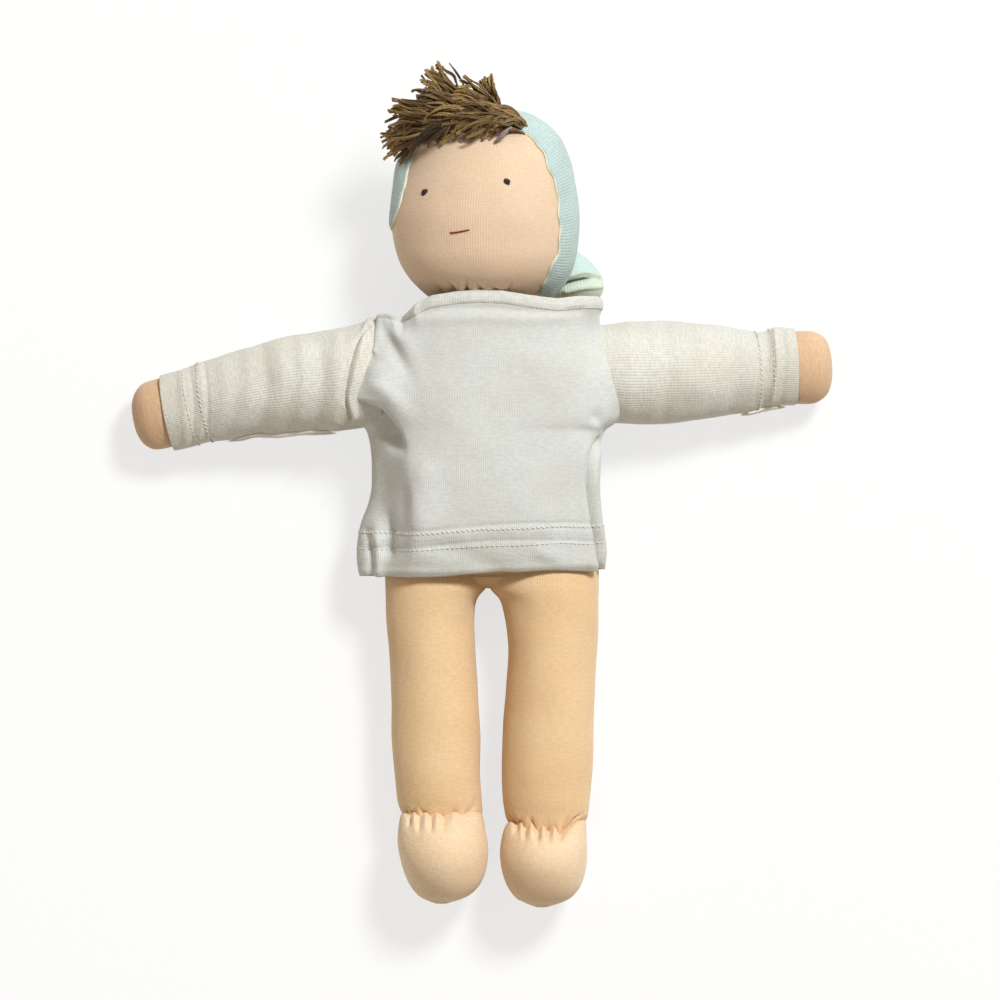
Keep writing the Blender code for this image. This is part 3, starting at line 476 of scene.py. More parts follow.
# %% The jersey finish
def jersey(name, colour, deep, light, wale=0.9, course=0.7, bump=0.14, groove_shade=0.40, streak=0.32):
    """A knitted cotton finish. Wale, course and bump are millimetres, groove and streak are shares."""
    finish, tree, shader = start_finish(name)
    weave = add_node(tree, "ShaderNodeUVMap", uv_map="weave").outputs["UV"]
    body = add_node(tree, "ShaderNodeTexCoord").outputs["Object"]
    parts = add_node(tree, "ShaderNodeSeparateXYZ")
    tree.links.new(weave, parts.inputs[0])
    column = calc(tree, "DIVIDE", parts.outputs["X"], wale * MM)
    row = calc(tree, "DIVIDE", parts.outputs["Y"], course * MM)
    off = calc(tree, "ABSOLUTE", calc(tree, "SUBTRACT", calc(tree, "FRACT", column), 0.5))
    wide = calc(tree, "MULTIPLY", off, 2.0)
    ridge = calc(tree, "SUBTRACT", 1.0, calc(tree, "MULTIPLY", wide, wide))
    slant = calc(tree, "ADD", row, calc(tree, "MULTIPLY", off, 1.6))
    beat = calc(tree, "COSINE", calc(tree, "MULTIPLY", slant, math.tau))
    stitch = calc(tree, "MULTIPLY", ridge, calc(tree, "ADD", 0.75, calc(tree, "MULTIPLY", beat, 0.25)))

    stretch = add_node(tree, "ShaderNodeMapping")
    stretch.inputs["Scale"].default_value = (0.35, 1.0, 1.0)
    tree.links.new(weave, stretch.inputs["Vector"])
    fleck = cloud(tree, stretch.outputs["Vector"], 1100.0, 2.0)
    patch = cloud(tree, body, 55.0)
    broad = cloud(tree, body, 16.0, 1.0)
    shade = blend_colours(tree, calc(tree, "MULTIPLY", patch, 0.55), colour, light)
    shade = blend_colours(tree, calc(tree, "MULTIPLY", broad, 0.25), shade, deep)
    # The colour between the wales is darkened towards the deep colour: painted shade in the grooves.
    between = calc(tree, "MULTIPLY", calc(tree, "SUBTRACT", 1.0, stitch), groove_shade)
    shade = blend_colours(tree, between, shade, deep)
    shade = blend_colours(tree, calc(tree, "MULTIPLY", fleck, streak), shade, deep)
    tree.links.new(shade, shader.inputs["Base Color"])

    rough = calc(tree, "ADD", 0.80, calc(tree, "MULTIPLY", fleck, 0.14))
    tree.links.new(rough, shader.inputs["Roughness"])
    shader.inputs["Sheen Weight"].default_value = 0.18
    shader.inputs["Sheen Roughness"].default_value = 0.5
    shader.inputs["Specular IOR Level"].default_value = 0.18
    fuzz = calc(tree, "MULTIPLY", fleck, 0.35)
    raise_surface(tree, shader, calc(tree, "ADD", stitch, fuzz), 0.75, bump)
    return finish


FACE = jersey(
    "face jersey", (0.79, 0.615, 0.46), (0.62, 0.41, 0.24), (0.85, 0.695, 0.55), 1.0,
    groove_shade=0.28, streak=0.25)
ARM = jersey("hand jersey", (0.75, 0.52, 0.34), (0.50, 0.29, 0.15), (0.81, 0.60, 0.42), 0.9, 0.6)
LEG = jersey("leg jersey", (0.82, 0.59, 0.345), (0.64, 0.40, 0.20), (0.87, 0.665, 0.44), groove_shade=0.3)
FOOT = jersey("foot jersey", (0.88, 0.67, 0.45), (0.66, 0.45, 0.26), (0.91, 0.75, 0.56), groove_shade=0.25)
SHIRT = jersey(
    "shirt jersey", (0.70, 0.72, 0.69), (0.45, 0.42, 0.35), (0.74, 0.785, 0.815), groove_shade=0.24, streak=0.24)
SLEEVE = jersey(
    "sleeve jersey", (0.76, 0.755, 0.70), (0.47, 0.42, 0.32), (0.80, 0.83, 0.84), 1.1, 0.8, 0.22)
RIB = jersey("neck band rib", (0.74, 0.76, 0.73), (0.46, 0.44, 0.38), (0.79, 0.82, 0.83), 1.0, 0.7)
CAP = jersey("cap jersey", (0.53, 0.68, 0.65), (0.36, 0.44, 0.42), (0.62, 0.79, 0.79), 1.25, 0.9, 0.25)
CAP_TAIL = jersey("cap tail jersey", (0.60, 0.74, 0.71), (0.40, 0.50, 0.48), (0.68, 0.81, 0.79), 1.25, 0.9)
CAP_GREEN = jersey("cap lining", (0.70, 0.79, 0.67), (0.44, 0.52, 0.40), (0.78, 0.86, 0.76), 1.25, 0.9)
CAP_ROLL = jersey("cap rolled edge", (0.74, 0.76, 0.62), (0.57, 0.60, 0.46), (0.82, 0.84, 0.74), 1.25, 0.9)
print("finishes made:", len(bpy.data.materials))

# %% [markdown]
# ## Head
#
# The head is a firm ball of wool under jersey, drawn in at the neck. Seen from the front it isn't
# round: the cheeks are full and low. The rows follow that outline, and the tucks of the neck gather
# are drawn as folds.

# %% Head
HEAD_ROWS = (
    (117, 483, 489, 30.9, 34.1),
    (118.5, 466, 506, 25.3, 39.7),
    (125, 447, 525, 17.6, 47.4),
    (135, 430, 541, 12.5, 52.5),
    (150, 415.5, 555.5, 7.3, 57.7),
    (180, 402.5, 567.5, 2.2, 62.6),
    (200, 397, 571, 0.8, 63.5),
    (218, 394, 572.5, 0.4, 63.6),
    (240, 395, 571, 1.9, 62.2),
    (260, 400.5, 565.5, 4.6, 60.2),
    (276, 409.5, 556.5, 8, 56),
    (288, 420, 547.5, 11.8, 49.4),
    (297, 431, 538, 15.6, 43.6),
    (303, 443, 530, 18.5, 40),
)
NECK_TUCKS = (
    (((431, 278), (444, 294)), 1.3, -0.7, 1, 0),
    (((444, 277), (455.5, 293)), 1.4, -1.5, 1, 0),
    (((466, 276), (467, 293)), 1.4, -1.6, 1, 0),
    (((473, 281), (482.5, 292.5)), 1.3, -1.3, 1, 0),
    (((487, 284), (497, 292)), 1.3, -1.1, 1, 0),
    (((513, 280), (507, 294)), 1.3, -0.7, 1, 0),
    (((461, 279), (461.5, 295)), 3.4, 0.6, 0.9, 0),
    (((474.5, 280), (475, 295)), 3, 0.6, 0.9, 0),
)
head_grid = picture_tube(HEAD_ROWS, 170, 220, 2.05)
head_grid = plump(lumps(head_grid, 0.45 * MM, 16.0 * MM, 3), cap=0.5)
head_grid = press(folds(head_grid, NECK_TUCKS))
head = cloth("head_cover", head_grid, FACE, (True, True))
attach(head, "head")
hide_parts("head_skin", "head_stuffing")

# %% [markdown]
# ## Threads
#
# Eyes, mouth and seams are sewn: short threads rise out of the cloth and dip back into it. One
# Geometry Nodes tree makes them all. Its carrier is a mesh of loose lines, one for each stitch, with
# the cloth's outward direction kept on the points. The tree bows each line outwards, rounds it, and
# thins its ends.

# %% Trees with named inputs
def start_tree(name, sizes):
    """A Geometry Nodes tree with named inputs, and its first and last nodes."""
    tree = bpy.data.node_groups.new(name, "GeometryNodeTree")
    tree.interface.new_socket("Carrier", in_out="INPUT", socket_type="NodeSocketGeometry")
    for label, kind in sizes.items():
        tree.interface.new_socket(label, in_out="INPUT", socket_type=f"NodeSocket{kind}")
    tree.interface.new_socket("Geometry", in_out="OUTPUT", socket_type="NodeSocketGeometry")
    return tree, add_node(tree, "NodeGroupInput"), add_node(tree, "NodeGroupOutput")


def result(node, name=None):
    """A node's first output in use, or the named one."""
    return next(item for item in node.outputs if item.enabled and name in (None, item.name))


def plug(tree, kind, values=None, **settings):
    """Add a node, set or link its inputs by name, and give its first output."""
    node = add_node(tree, kind, **settings)
    for name, value in (values or {}).items():
        socket = next(item for item in node.inputs if item.enabled and item.name == name)
        if isinstance(value, bpy.types.NodeSocket):
            tree.links.new(value, socket)
        else:
            socket.default_value = value
    return result(node)


def close_tree(tree, end, shape, finish):
    """Smooth, realize and colour what a tree made."""
    shape = plug(tree, "GeometryNodeSetShadeSmooth", {"Geometry": shape})
    shape = plug(tree, "GeometryNodeRealizeInstances", {"Geometry": shape})
    shape = plug(tree, "GeometryNodeSetMaterial", {"Geometry": shape, "Material": finish})
    tree.links.new(shape, end.inputs[0])


def grow(name, carrier, tree, sizes):
    """Run a tree on its carrier, and keep the result as a plain mesh."""
    modifier = carrier.modifiers.new(tree.name, "NODES")
    modifier.node_group = tree
    for item in tree.interface.items_tree:
        if item.in_out == "INPUT" and item.name in sizes:
            modifier[item.identifier] = sizes[item.name]
    shown = carrier.evaluated_get(bpy.context.evaluated_depsgraph_get())
    mesh = bpy.data.meshes.new_from_object(shown)
    bpy.data.objects.remove(carrier)
    piece = bpy.data.objects.new(name, mesh)
    bpy.context.scene.collection.objects.link(piece)
    print(name, len(mesh.polygons), "faces")
    return piece


def lines_of(lines, outs, ring=False):
    """A carrier: loose lines, with the cloth's outward direction on every point."""
    points, edges = [], []
    for line in lines:
        first = len(points)
        points += [tuple(point) for point in line]
        edges += [(first + step, first + step + 1) for step in range(len(line) - 1)]
        if ring:
            edges.append((len(points) - 1, first))
    mesh = bpy.data.meshes.new("carrier")
    mesh.from_pydata(points, edges, [])
    layer = mesh.attributes.new("out", "FLOAT_VECTOR", "POINT")
    layer.data.foreach_set("vector", np.array([tuple(out) for line in outs for out in line], float).ravel())
    carrier = bpy.data.objects.new("carrier", mesh)
    bpy.context.scene.collection.objects.link(carrier)
    return carrier


# %% The tree that sews
def hill_along(tree):
    """A value that is 0 at both ends of a line and 1 in its middle."""
    place = plug(tree, "GeometryNodeSplineParameter")
    return calc(tree, "MULTIPLY", calc(tree, "MULTIPLY", place, calc(tree, "SUBTRACT", 1.0, place)), 4.0)


def sewing_tree():
    """Bow every line outwards, and make it a round thread with thin ends."""
    tree, start, end = start_tree("stitches", {"Thickness": "Float", "Bow": "Float", "Finish": "Material"})
    lines = plug(tree, "GeometryNodeMeshToCurve", {"Mesh": start.outputs["Carrier"]})
    lines = plug(tree, "GeometryNodeResampleCurve", {"Curve": lines, "Count": 7})
    hill = hill_along(tree)
    out = plug(tree, "GeometryNodeInputNamedAttribute", {"Name": "out"}, data_type="FLOAT_VECTOR")
    height = calc(tree, "MULTIPLY", hill, start.outputs["Bow"])
    lift = plug(tree, "ShaderNodeVectorMath", {"Vector": out, "Scale": height}, operation="SCALE")
    lines = plug(tree, "GeometryNodeSetPosition", {"Geometry": lines, "Offset": lift})
    radius = calc(tree, "MULTIPLY", start.outputs["Thickness"], 0.5)
    profile = plug(tree, "GeometryNodeCurvePrimitiveCircle", {"Resolution": 7, "Radius": radius})
    taper = calc(tree, "ADD", 0.5, calc(tree, "MULTIPLY", hill, 0.5))
    thread = plug(tree, "GeometryNodeCurveToMesh", {
        "Curve": lines, "Profile Curve": profile, "Scale": taper, "Fill Caps": True})
    close_tree(tree, end, thread, start.outputs["Finish"])
    return tree


STITCHES = sewing_tree()


def thread_finish(name, colour, deep):
    """Spun thread, with fine fibres in its colour and its surface."""
    finish, tree, shader = start_finish(name)
    body = add_node(tree, "ShaderNodeTexCoord").outputs["Object"]
    fibre = cloud(tree, body, 2600.0, 2.0)
    patch = cloud(tree, body, 500.0, 1.0)
    shade = blend_colours(tree, calc(tree, "MULTIPLY", fibre, 0.5), colour, deep)
    shade = blend_colours(tree, calc(tree, "MULTIPLY", patch, 0.3), shade, deep)
    tree.links.new(shade, shader.inputs["Base Color"])
    tree.links.new(calc(tree, "ADD", 0.55, calc(tree, "MULTIPLY", patch, 0.25)), shader.inputs["Roughness"])
    raise_surface(tree, shader, fibre, 0.6, 0.08)
    return finish


# %% [markdown]
# ## Eyes and mouth
#
# Each eye is a small leaf of satin stitch, a few dark brown threads side by side. The mouth is one
# row of dark red stitches, each slanting over the last, as in a stem stitch. The photograph gives the
# ends of the threads, and a ray straight down finds the face under them.

# %% The face under a pixel
HEAD_MIDDLE = over(487.0, 204.0, 32.5 * MM)


def tree_of(piece):
    """A search tree of a piece's faces."""
    return BVHTree.FromObject(piece, bpy.context.evaluated_depsgraph_get())


bpy.context.view_layer.update()
head_tree = tree_of(head)


def on_face(across, down):
    """The point of the face under a pixel of the photograph, and the way out of it."""
    start = Vector(camera.location)
    return head_tree.ray_cast(start, (over(across, down, FOCUS_HEIGHT) - start).normalized())[:2]


def embroider(name, threads, thickness, bow, finish, node):
    """Threads on the face, each from one pixel to another. Thickness and bow are millimetres."""
    ends = [[on_face(*place) for place in thread] for thread in threads]
    carrier = lines_of(
        [[point for point, _ in thread] for thread in ends],
        [[out for _, out in thread] for thread in ends])
    piece = grow(name, carrier, STITCHES, {"Thickness": thickness * MM, "Bow": bow * MM, "Finish": finish})
    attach(piece, "head")
    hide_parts(node)


# %% Eyes and mouth
EYE_THREAD = thread_finish("eye thread", (0.045, 0.020, 0.010), (0.012, 0.006, 0.004))
MOUTH_THREAD = thread_finish("mouth thread", (0.30, 0.022, 0.020), (0.12, 0.010, 0.010))
RIGHT_EYE = (
    ((422, 193.6), (424.4, 189.2)), ((421.8, 195.4), (426.2, 189)), ((422.6, 196), (427.8, 189.4)),
    ((424, 195.4), (427.8, 191)), ((425, 193.8), (427.6, 191.6)))
LEFT_EYE = (
    ((503.8, 180.4), (505.4, 183.6)), ((504.2, 178.8), (507, 184.8)), ((505.6, 178), (508.6, 185.4)),
    ((507.2, 178.4), (509.4, 184.6)), ((508.6, 179.6), (509.8, 182.6)))
MOUTH = (
    ((449.9, 232.3), (454.2, 233)), ((450.6, 233.4), (455.4, 232)), ((453.8, 233), (458.6, 231.5)),
    ((455.2, 232.4), (460, 232)), ((458.2, 232.1), (463, 230.6)), ((459.8, 231.7), (464.6, 231.1)),
    ((462.8, 231.1), (467.4, 230)), ((464.2, 230.7), (469.8, 229.6)))
embroider("eye_right", RIGHT_EYE, 0.62, 0.32, EYE_THREAD, "right_eye")
embroider("eye_left", LEFT_EYE, 0.62, 0.32, EYE_THREAD, "left_eye")
embroider("mouth_stitches", MOUTH, 0.60, 0.28, MOUTH_THREAD, "mouth")

# %% [markdown]
# ## Trunk, legs and feet
#
# The trunk shows only between the legs, but it fills the shirt. Each leg is a stuffed tube that is
# flat across at the hip. A thread gathers the ankle at the front, and the cloth ends on a zigzag line
# where the gather pulls it.

# %% Trunk
TRUNK_ROWS = (
    (588.5, 482, 493, 14, 22),
    (585.5, 472, 502, 10, 27),
    (579, 450, 525, 6, 30.5),
    (566, 405, 570, 3, 33),
    (548, 393, 584, 2, 39.5),
    (520, 398, 588, 1.8, 43.5),
    (470, 404, 586, 1.5, 45.5),
    (430, 408, 586, 1.5, 46),
    (385, 400, 590, 1.5, 46),
    (340, 402, 580, 4.5, 45),
    (322, 420, 560, 10, 43),
    (313, 445, 530, 16, 38),
)
trunk_grid = press(lumps(picture_tube(TRUNK_ROWS, 70, 90, 2.4), 0.4 * MM, 18.0 * MM, 5), 1.4 * MM)
trunk = cloth("trunk_body", trunk_grid, LEG, (True, True))
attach(trunk, "trunk")
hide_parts("trunk_skin", "trunk_stuffing")

# %% Legs
LEG_ROWS = {
    "right": (
        (548, 400, 462, 7, 28),
        (552, 391, 473, 4, 32),
        (566, 386, 480, 1.5, 34.6),
        (588, 385.6, 485.8, 0.8, 35.4),
        (602, 386.4, 477.5, 0.2, 35),
        (618, 387.3, 474.6, 0, 34.5),
        (646, 389.8, 475, 0, 34),
        (697, 392.3, 477.4, 0, 33.6),
        (750, 393.4, 479.2, 0, 33.4),
        (783, 396.3, 480.4, 0.4, 32.6),
        (802, 399.6, 481.2, 1.6, 31),
        (813, 403.2, 481.4, 3, 29),
        (820, 410, 477, 5.5, 26),
        (825, 422, 466, 9, 22.5),
    ),
    "left": (
        (548, 507, 578, 7, 28),
        (552, 499, 589, 4, 32),
        (566, 493, 597, 1.5, 34.6),
        (588, 488.6, 597.9, 0.8, 35.4),
        (602, 498.2, 597.2, 0.2, 35),
        (618, 502.6, 596.6, 0, 34.5),
        (646, 505.7, 595.2, 0, 34),
        (697, 503.2, 593.8, 0, 33.6),
        (750, 501.4, 592.2, 0, 33.4),
        (783, 502.3, 590.2, 0.4, 32.8),
        (808, 505.6, 588, 1.2, 31.6),
        (824, 509.8, 585.6, 3, 29),
        (830, 515, 582, 5.5, 26),
        (835, 527, 570, 9, 22.5),
    ),
}
LEG_CREASES = {
    "right": (
        (((400, 802), (404, 810), (410.5, 820.5)), 1.6, -1.9, 0.8, 0),
        (((405, 804), (411, 812), (419.5, 822)), 1.6, -1.9, 0.8, 0),
        (((416, 802), (422, 811), (431, 823)), 1.6, -1.9, 0.8, 0),
        (((441, 808), (444, 822)), 1.7, -1, 1, 0),
        (((466, 804), (453.5, 817)), 2.2, -0.7, 1, 0),
        (((477, 790), (474, 806), (466, 818)), 3, -0.7, 0.8, 0),
        (((405, 801), (415, 819)), 3, 0.7, 0.9, 0),
        (((416, 801), (425.5, 820)), 3.4, 0.8, 0.9, 0),
        (((432, 800), (437.5, 820)), 4, 0.7, 0.9, 0),
    ),
    "left": (
        (((503, 808), (509, 818), (517.5, 828)), 1.6, -1.9, 0.8, 0),
        (((511, 810), (517, 821), (525, 832)), 1.6, -1.9, 0.8, 0),
        (((529, 814), (532, 824), (538, 836)), 1.7, -1.6, 0.8, 0),
        (((548, 813), (548, 824), (549, 836)), 1.7, -1.5, 0.8, 0),
        (((571, 812), (565, 824), (559, 838)), 1.9, -1.5, 0.8, 0),
        (((585, 811), (575, 821), (565, 832)), 1.7, -1.5, 0.5, 0),
        (((512, 808), (521.5, 830)), 3, 0.7, 0.9, 0),
        (((524, 812), (531.5, 833)), 3.4, 0.8, 0.9, 0),
        (((541, 814), (544, 834)), 3.8, 0.8, 0.9, 0),
        (((560, 812), (555, 834)), 3.8, 0.7, 0.9, 0),
    ),
}
GATHERS = {
    "right": (819.5, (
        (401, 814), (405, 816), (410.5, 821.5), (414.4, 815.5), (419.2, 823.5), (425.8, 816.5),
        (430.8, 824), (436.6, 815.5), (443.5, 823.5), (453.4, 815), (461.5, 821), (470, 817),
        (482, 815))),
    "left": (829, (
        (503, 820), (511, 822), (517.7, 828.5), (521.5, 823.5), (525, 833), (531.5, 825),
        (537.8, 837), (543, 827), (548.2, 836.5), (554.5, 828.5), (559.5, 839), (567.5, 830),
        (576, 823), (588, 819))),
}
GATHER_REACH = 14.0
GATHER_HEIGHT = 16.0 * MM


def gather(grid, side):
    """Pull the cloth beside a gather up and down, so that it ends on a zigzag line at the front."""
    level, line = GATHERS[side]
    line = np.array(line)
    across, down = pixels_of(grid)
    share = np.clip(1.0 - np.abs(down - level) / GATHER_REACH, 0.0, 1.0)
    share = share * np.clip(grid[:, :, 2] / GATHER_HEIGHT - 0.5, 0.0, 1.0)
    grid = grid.copy()
    grid[:, :, 1] -= (np.interp(across, line[:, 0], line[:, 1]) - level) * share * PIXEL
    return grid


leg_grids = {}
for side, rows in LEG_ROWS.items():
    grid = lumps(picture_tube(rows, 220, 200, 2.1), 0.5 * MM, 15.0 * MM, 7 if side == "right" else 8)
    grid = press(gather(folds(plump(grid), LEG_CREASES[side]), side))
    leg_grids[side] = grid
    leg = cloth(f"leg_{side}", grid, LEG, (True, True))
    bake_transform(leg)
    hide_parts(f"{side}_leg_skin", f"{side}_leg_stuffing")

# %% Feet
FOOT_ROWS = {
    "right": (
        (808, 420, 466, 9, 21),
        (811, 410, 476, 6, 26),
        (816, 403.5, 481, 3.5, 30.5),
        (822, 401, 482.8, 1.8, 34),
        (832, 399, 484.8, 0.4, 38),
        (845, 398.2, 487, 0, 40.2),
        (862, 401.2, 486.4, 0.6, 40.4),
        (880, 408, 482, 3.4, 37.6),
        (893, 416.5, 472, 8, 33),
        (900.5, 426.5, 458, 13.5, 28),
        (903.8, 437, 446, 18.6, 22.6),
    ),
    "left": (
        (820, 527, 570, 9, 21),
        (823, 516, 580, 6, 26),
        (828, 509.5, 585.4, 3.5, 30.5),
        (833, 505.8, 586, 1.8, 34),
        (842, 502.6, 586.6, 0.4, 38),
        (854, 501.2, 586.8, 0, 40.2),
        (868, 502, 585.4, 0.6, 40.4),
        (884, 506.6, 580.6, 3.4, 37.6),
        (896.5, 515, 571.5, 8, 33),
        (903.5, 526, 558.5, 13.5, 28),
        (906.8, 537, 547, 18.6, 22.6),
    ),
}
FOOT_CREASES = {
    "right": (
        (((410.5, 819), (405, 832)), 1.8, -0.7, 0, 1),
        (((419.5, 820), (417.5, 836)), 1.8, -0.8, 0, 1),
        (((431, 820), (431.5, 837)), 1.8, -0.8, 0, 1),
        (((443.5, 820), (446.5, 835)), 1.9, -0.6, 0, 1),
        (((414.4, 815), (411, 832)), 2.8, 0.5, 0, 1),
        (((425.8, 815), (425, 836)), 3, 0.5, 0, 1),
        (((436.6, 815), (438, 836)), 3, 0.5, 0, 1),
    ),
    "left": (
        (((517.5, 826), (511, 842)), 1.8, -0.7, 0, 1),
        (((525, 828), (521, 846)), 1.8, -0.8, 0, 1),
        (((538, 830), (537, 850)), 1.8, -0.8, 0, 1),
        (((548.5, 830), (550, 850)), 1.8, -0.8, 0, 1),
        (((559.5, 830), (562, 848)), 1.9, -0.6, 0, 1),
        (((531.5, 824), (528, 848)), 3, 0.5, 0, 1),
        (((543, 826), (543.5, 850)), 3, 0.5, 0, 1),
        (((554.5, 826), (556, 848)), 3, 0.5, 0, 1),
    ),
}
for side, rows in FOOT_ROWS.items():
    grid = lumps(picture_tube(rows, 120, 200, 2.05), 0.4 * MM, 13.0 * MM, 11 if side == "right" else 12)
    grid = press(gather(folds(plump(grid, cap=0.5), FOOT_CREASES[side]), side))
    foot = cloth(f"foot_{side}", grid, FOOT, (True, True))
    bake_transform(foot)
    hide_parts(f"{side}_foot_skin", f"{side}_foot_stuffing")

# %% [markdown]
# ## Arms
#
# Each arm is a stuffed tube with a round end for a hand. Only the hand shows, but the whole arm is
# made, so the sleeve has something to lie on when it is looked into. Its inner end is thin, so that it
# stays inside the shirt when the arm is raised.

# %% Arms
ARM_DIP = math.radians(6.8)
ARM_HEADINGS = {"right": math.radians(190.6), "left": math.radians(1.5)}
ARM_ROWS = {
    "right": (
        (-4, 4, 4, 0.5), (-2, 9, 9, 0.5), (8, 12.6, 13.4, 0.5), (24, 14, 14.4, 0.2),
        (42, 13.2, 13.4, -0.2),
        (60, 12.2, 12.2, 0.8), (65.8, 12.6, 12.4, 1.2), (70.2, 12.1, 11.6, 1.4), (73.2, 9.8, 9.2, 1.6),
        (75.2, 5.8, 5.2, 1.7), (75.8, 1.4, 1.4, 1.7)),
    "left": (
        (-4, 4, 4, -0.5), (-2, 9, 9, -0.5), (8, 12.6, 13.4, -0.6), (24, 14, 14.4, -0.6),
        (42, 12.8, 13, -0.7), (50, 12.1, 12.1, -0.7),
        (58, 12.4, 12.3, -0.1), (64, 13.2, 12.6, -0.2), (69, 12.8, 12, -0.2), (72.6, 10.5, 9.6, -0.1),
        (74.6, 6.2, 5.4, 0), (75.2, 1.5, 1.4, 0)),
}
SHOULDERS = {side: Vector(joint_place(f"{side}_shoulder")) for side in ARM_ROWS}
for side, rows in ARM_ROWS.items():
    grid = limb_tube(rows, 110, 96, SHOULDERS[side], ARM_HEADINGS[side], ARM_DIP)
    grid = press(lumps(grid, 0.4 * MM, 12.0 * MM, 21 if side == "right" else 22), 0.9 * MM)
    arm = cloth(f"arm_{side}", grid, ARM, (True, True))
    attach(arm, f"{side}_arm")
    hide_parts(f"{side}_arm_skin", f"{side}_arm_stuffing")

# %% [markdown]
# ## Sleeves
#
# A sleeve is a tube of jersey sewn into the armhole. Its cuff is folded under and held by two rows of
# stitches, which pinch the cloth a little.

# %% Sleeves
SLEEVE_ROWS = {
    "right": (
        (-17, 19.8, 17.5, 0.6), (-10, 18.8, 18.6, 1), (-3, 18.2, 19, 1.2), (5, 18, 19, 0.7),
        (13.7, 17.6, 18.4, -0.2), (24, 16.8, 17.2, -0.5), (35.3, 15.5, 15.8, -0.4), (44, 14.7, 14.6, -0.2),
        (49.7, 14.2, 14, 0), (56, 13.9, 13.6, 0.7), (63.2, 13.7, 13.4, 1.2)),
    "left": (
        (-16, 16.4, 16.5, 0), (-10, 17.2, 18, -0.3), (-3, 18, 19, -0.6), (5, 18.5, 19, -0.9),
        (14, 18.4, 18.7, -0.8), (28, 17.2, 17.3, -0.8), (37, 16.1, 16, -0.8), (44, 15, 14.8, -0.8),
        (49.5, 13.7, 13.7, -0.8), (55, 14.1, 14.2, 0.1), (61.4, 13.9, 14, 0)),
}
SLEEVE_SLANT = {"right": 3.0, "left": -1.5}
SLEEVE_FOLDS = {
    "right": (
        (((371, 316), (365, 336), (360, 356), (354, 380), (350, 400), (354, 416)), 4, 1.6),
        (((369, 328), (357, 343), (351, 360), (347.5, 378), (346, 398), (351, 418)), 1.8, -1.5),
        (((350, 346), (343, 366), (339, 392), (342, 420)), 5, 0.7, 0.3, 0.3),
        (((338, 330), (336, 372), (334, 410), (338, 430)), 6.5, 0.7),
        (((318, 338), (322, 372), (318, 420)), 7, -0.8),
        (((300, 338), (304, 380), (300, 426)), 6, 0.5),
        (((280, 345), (284, 380), (276, 425)), 9, 0.6),
        (((262, 348), (267, 386), (260, 430)), 6, -0.5),
        (((246, 352), (250, 390), (240, 432)), 7, 0.5),
        (((222, 360), (226, 395), (218, 436)), 8, 0.5),
        (((204, 362), (208, 400), (207, 438)), 2.2, -0.35),
        (((198, 364), (202, 402), (200, 440)), 2.6, 0.25),
        (((189, 366), (194, 404), (193, 444)), 2.2, -0.35),
        (((180, 370), (184, 406), (186, 444)), 4, 0.5),
    ),
    "left": (
        (((628, 325), (632, 370), (628, 415)), 9, 0.5),
        (((664, 324), (668, 372), (664, 416)), 8, -0.6),
        (((700, 324), (704, 370), (698, 414)), 9, 0.5),
        (((733, 328), (736, 370), (730, 408)), 7, -0.5),
        (((756, 332), (758, 368), (755, 404)), 2.2, -0.3),
        (((766, 332), (768, 368), (764, 404)), 3.5, -0.5),
        (((775, 331), (777, 368), (772, 400)), 2.2, 0.9),
        (((783, 329), (785, 368), (781, 402)), 3, -0.4),
    ),
}
sleeve_grids = {}
for side, rows in SLEEVE_ROWS.items():
    grid = limb_tube(rows, 220, 200, SHOULDERS[side], ARM_HEADINGS[side], ARM_DIP, SLEEVE_SLANT[side])
    grid = lumps(grid, 0.7 * MM, 11.0 * MM, 31 if side == "right" else 32)
    grid = press(folds(grid, SLEEVE_FOLDS[side]), 0.1 * MM)
    sleeve_grids[side] = grid
    sleeve = cloth(f"sleeve_{side}", grid, SLEEVE, wall=0.8 * MM)
    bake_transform(sleeve)
    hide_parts(f"{side}_sleeve")

# %% [markdown]
# ## Shirt
#
# The shirt's body is one wide tube, a little too large for the doll, so it folds at the armpit and
# stands out at the hem. It could be draped as loose cloth, but then its folds would fall anywhere, and
# here they are to lie as in the picture. The neckline is not level: it climbs over both shoulders.
# Every row of the tube runs from the hem's height to the neckline's, and the heights follow two drawn
# lines. The front slopes down towards the picture's left edge, away from the light, as the shade there
# shows. Beside the neckline the front and the back are rounded towards each other, as at a shoulder
# seam.

# %% The shirt's outline and folds
SHIRT_ROWS = (
    (576, 359.5, 605, 0.2, 40.2),
    (571, 358.4, 605.2, 0, 41.6),
    (546, 357, 603.5, 0, 45.2),
    (521, 361.5, 602, 0, 47.6),
    (500, 368.5, 600, 0, 49),
    (470, 371, 600, 0, 50.3),
    (441, 370, 602, 0, 50.8),
    (431, 367.5, 606, 0, 50.8),
    (424, 362, 615, 0, 50.8),
    (417, 355.5, 621, 0, 50.8),
    (409, 349.5, 624.5, 0, 50.8),
    (398, 343, 628.5, 0, 50.8),
    (387, 342.5, 630.5, 0, 50.8),
    (374, 346.5, 629.5, 0, 50.7),
    (358, 357, 620.5, 0.4, 50.6),
    (342, 367, 606.5, 2, 50.3),
    (328, 372, 600, 4.5, 50),
    (316, 376.5, 600, 7.5, 49.7),
    (304, 378, 604.5, 10.5, 49.3),
)
SHIRT_SLOPE = (
    (400, 392, 30, 0.00), (418, 400, 30, 0.08), (436, 406, 30, 0.19),
    (455, 411, 34, 0.18), (490, 418, 40, 0.18), (525, 421, 40, 0.19),
    (548, 417, 36, 0.18), (576, 412, 36, 0.10))
HEM_LINE = ((360, 0), (409, 1.5), (449, -0.5), (484, -3), (524, -4), (553, -6),
            (587, -5), (605, -7))
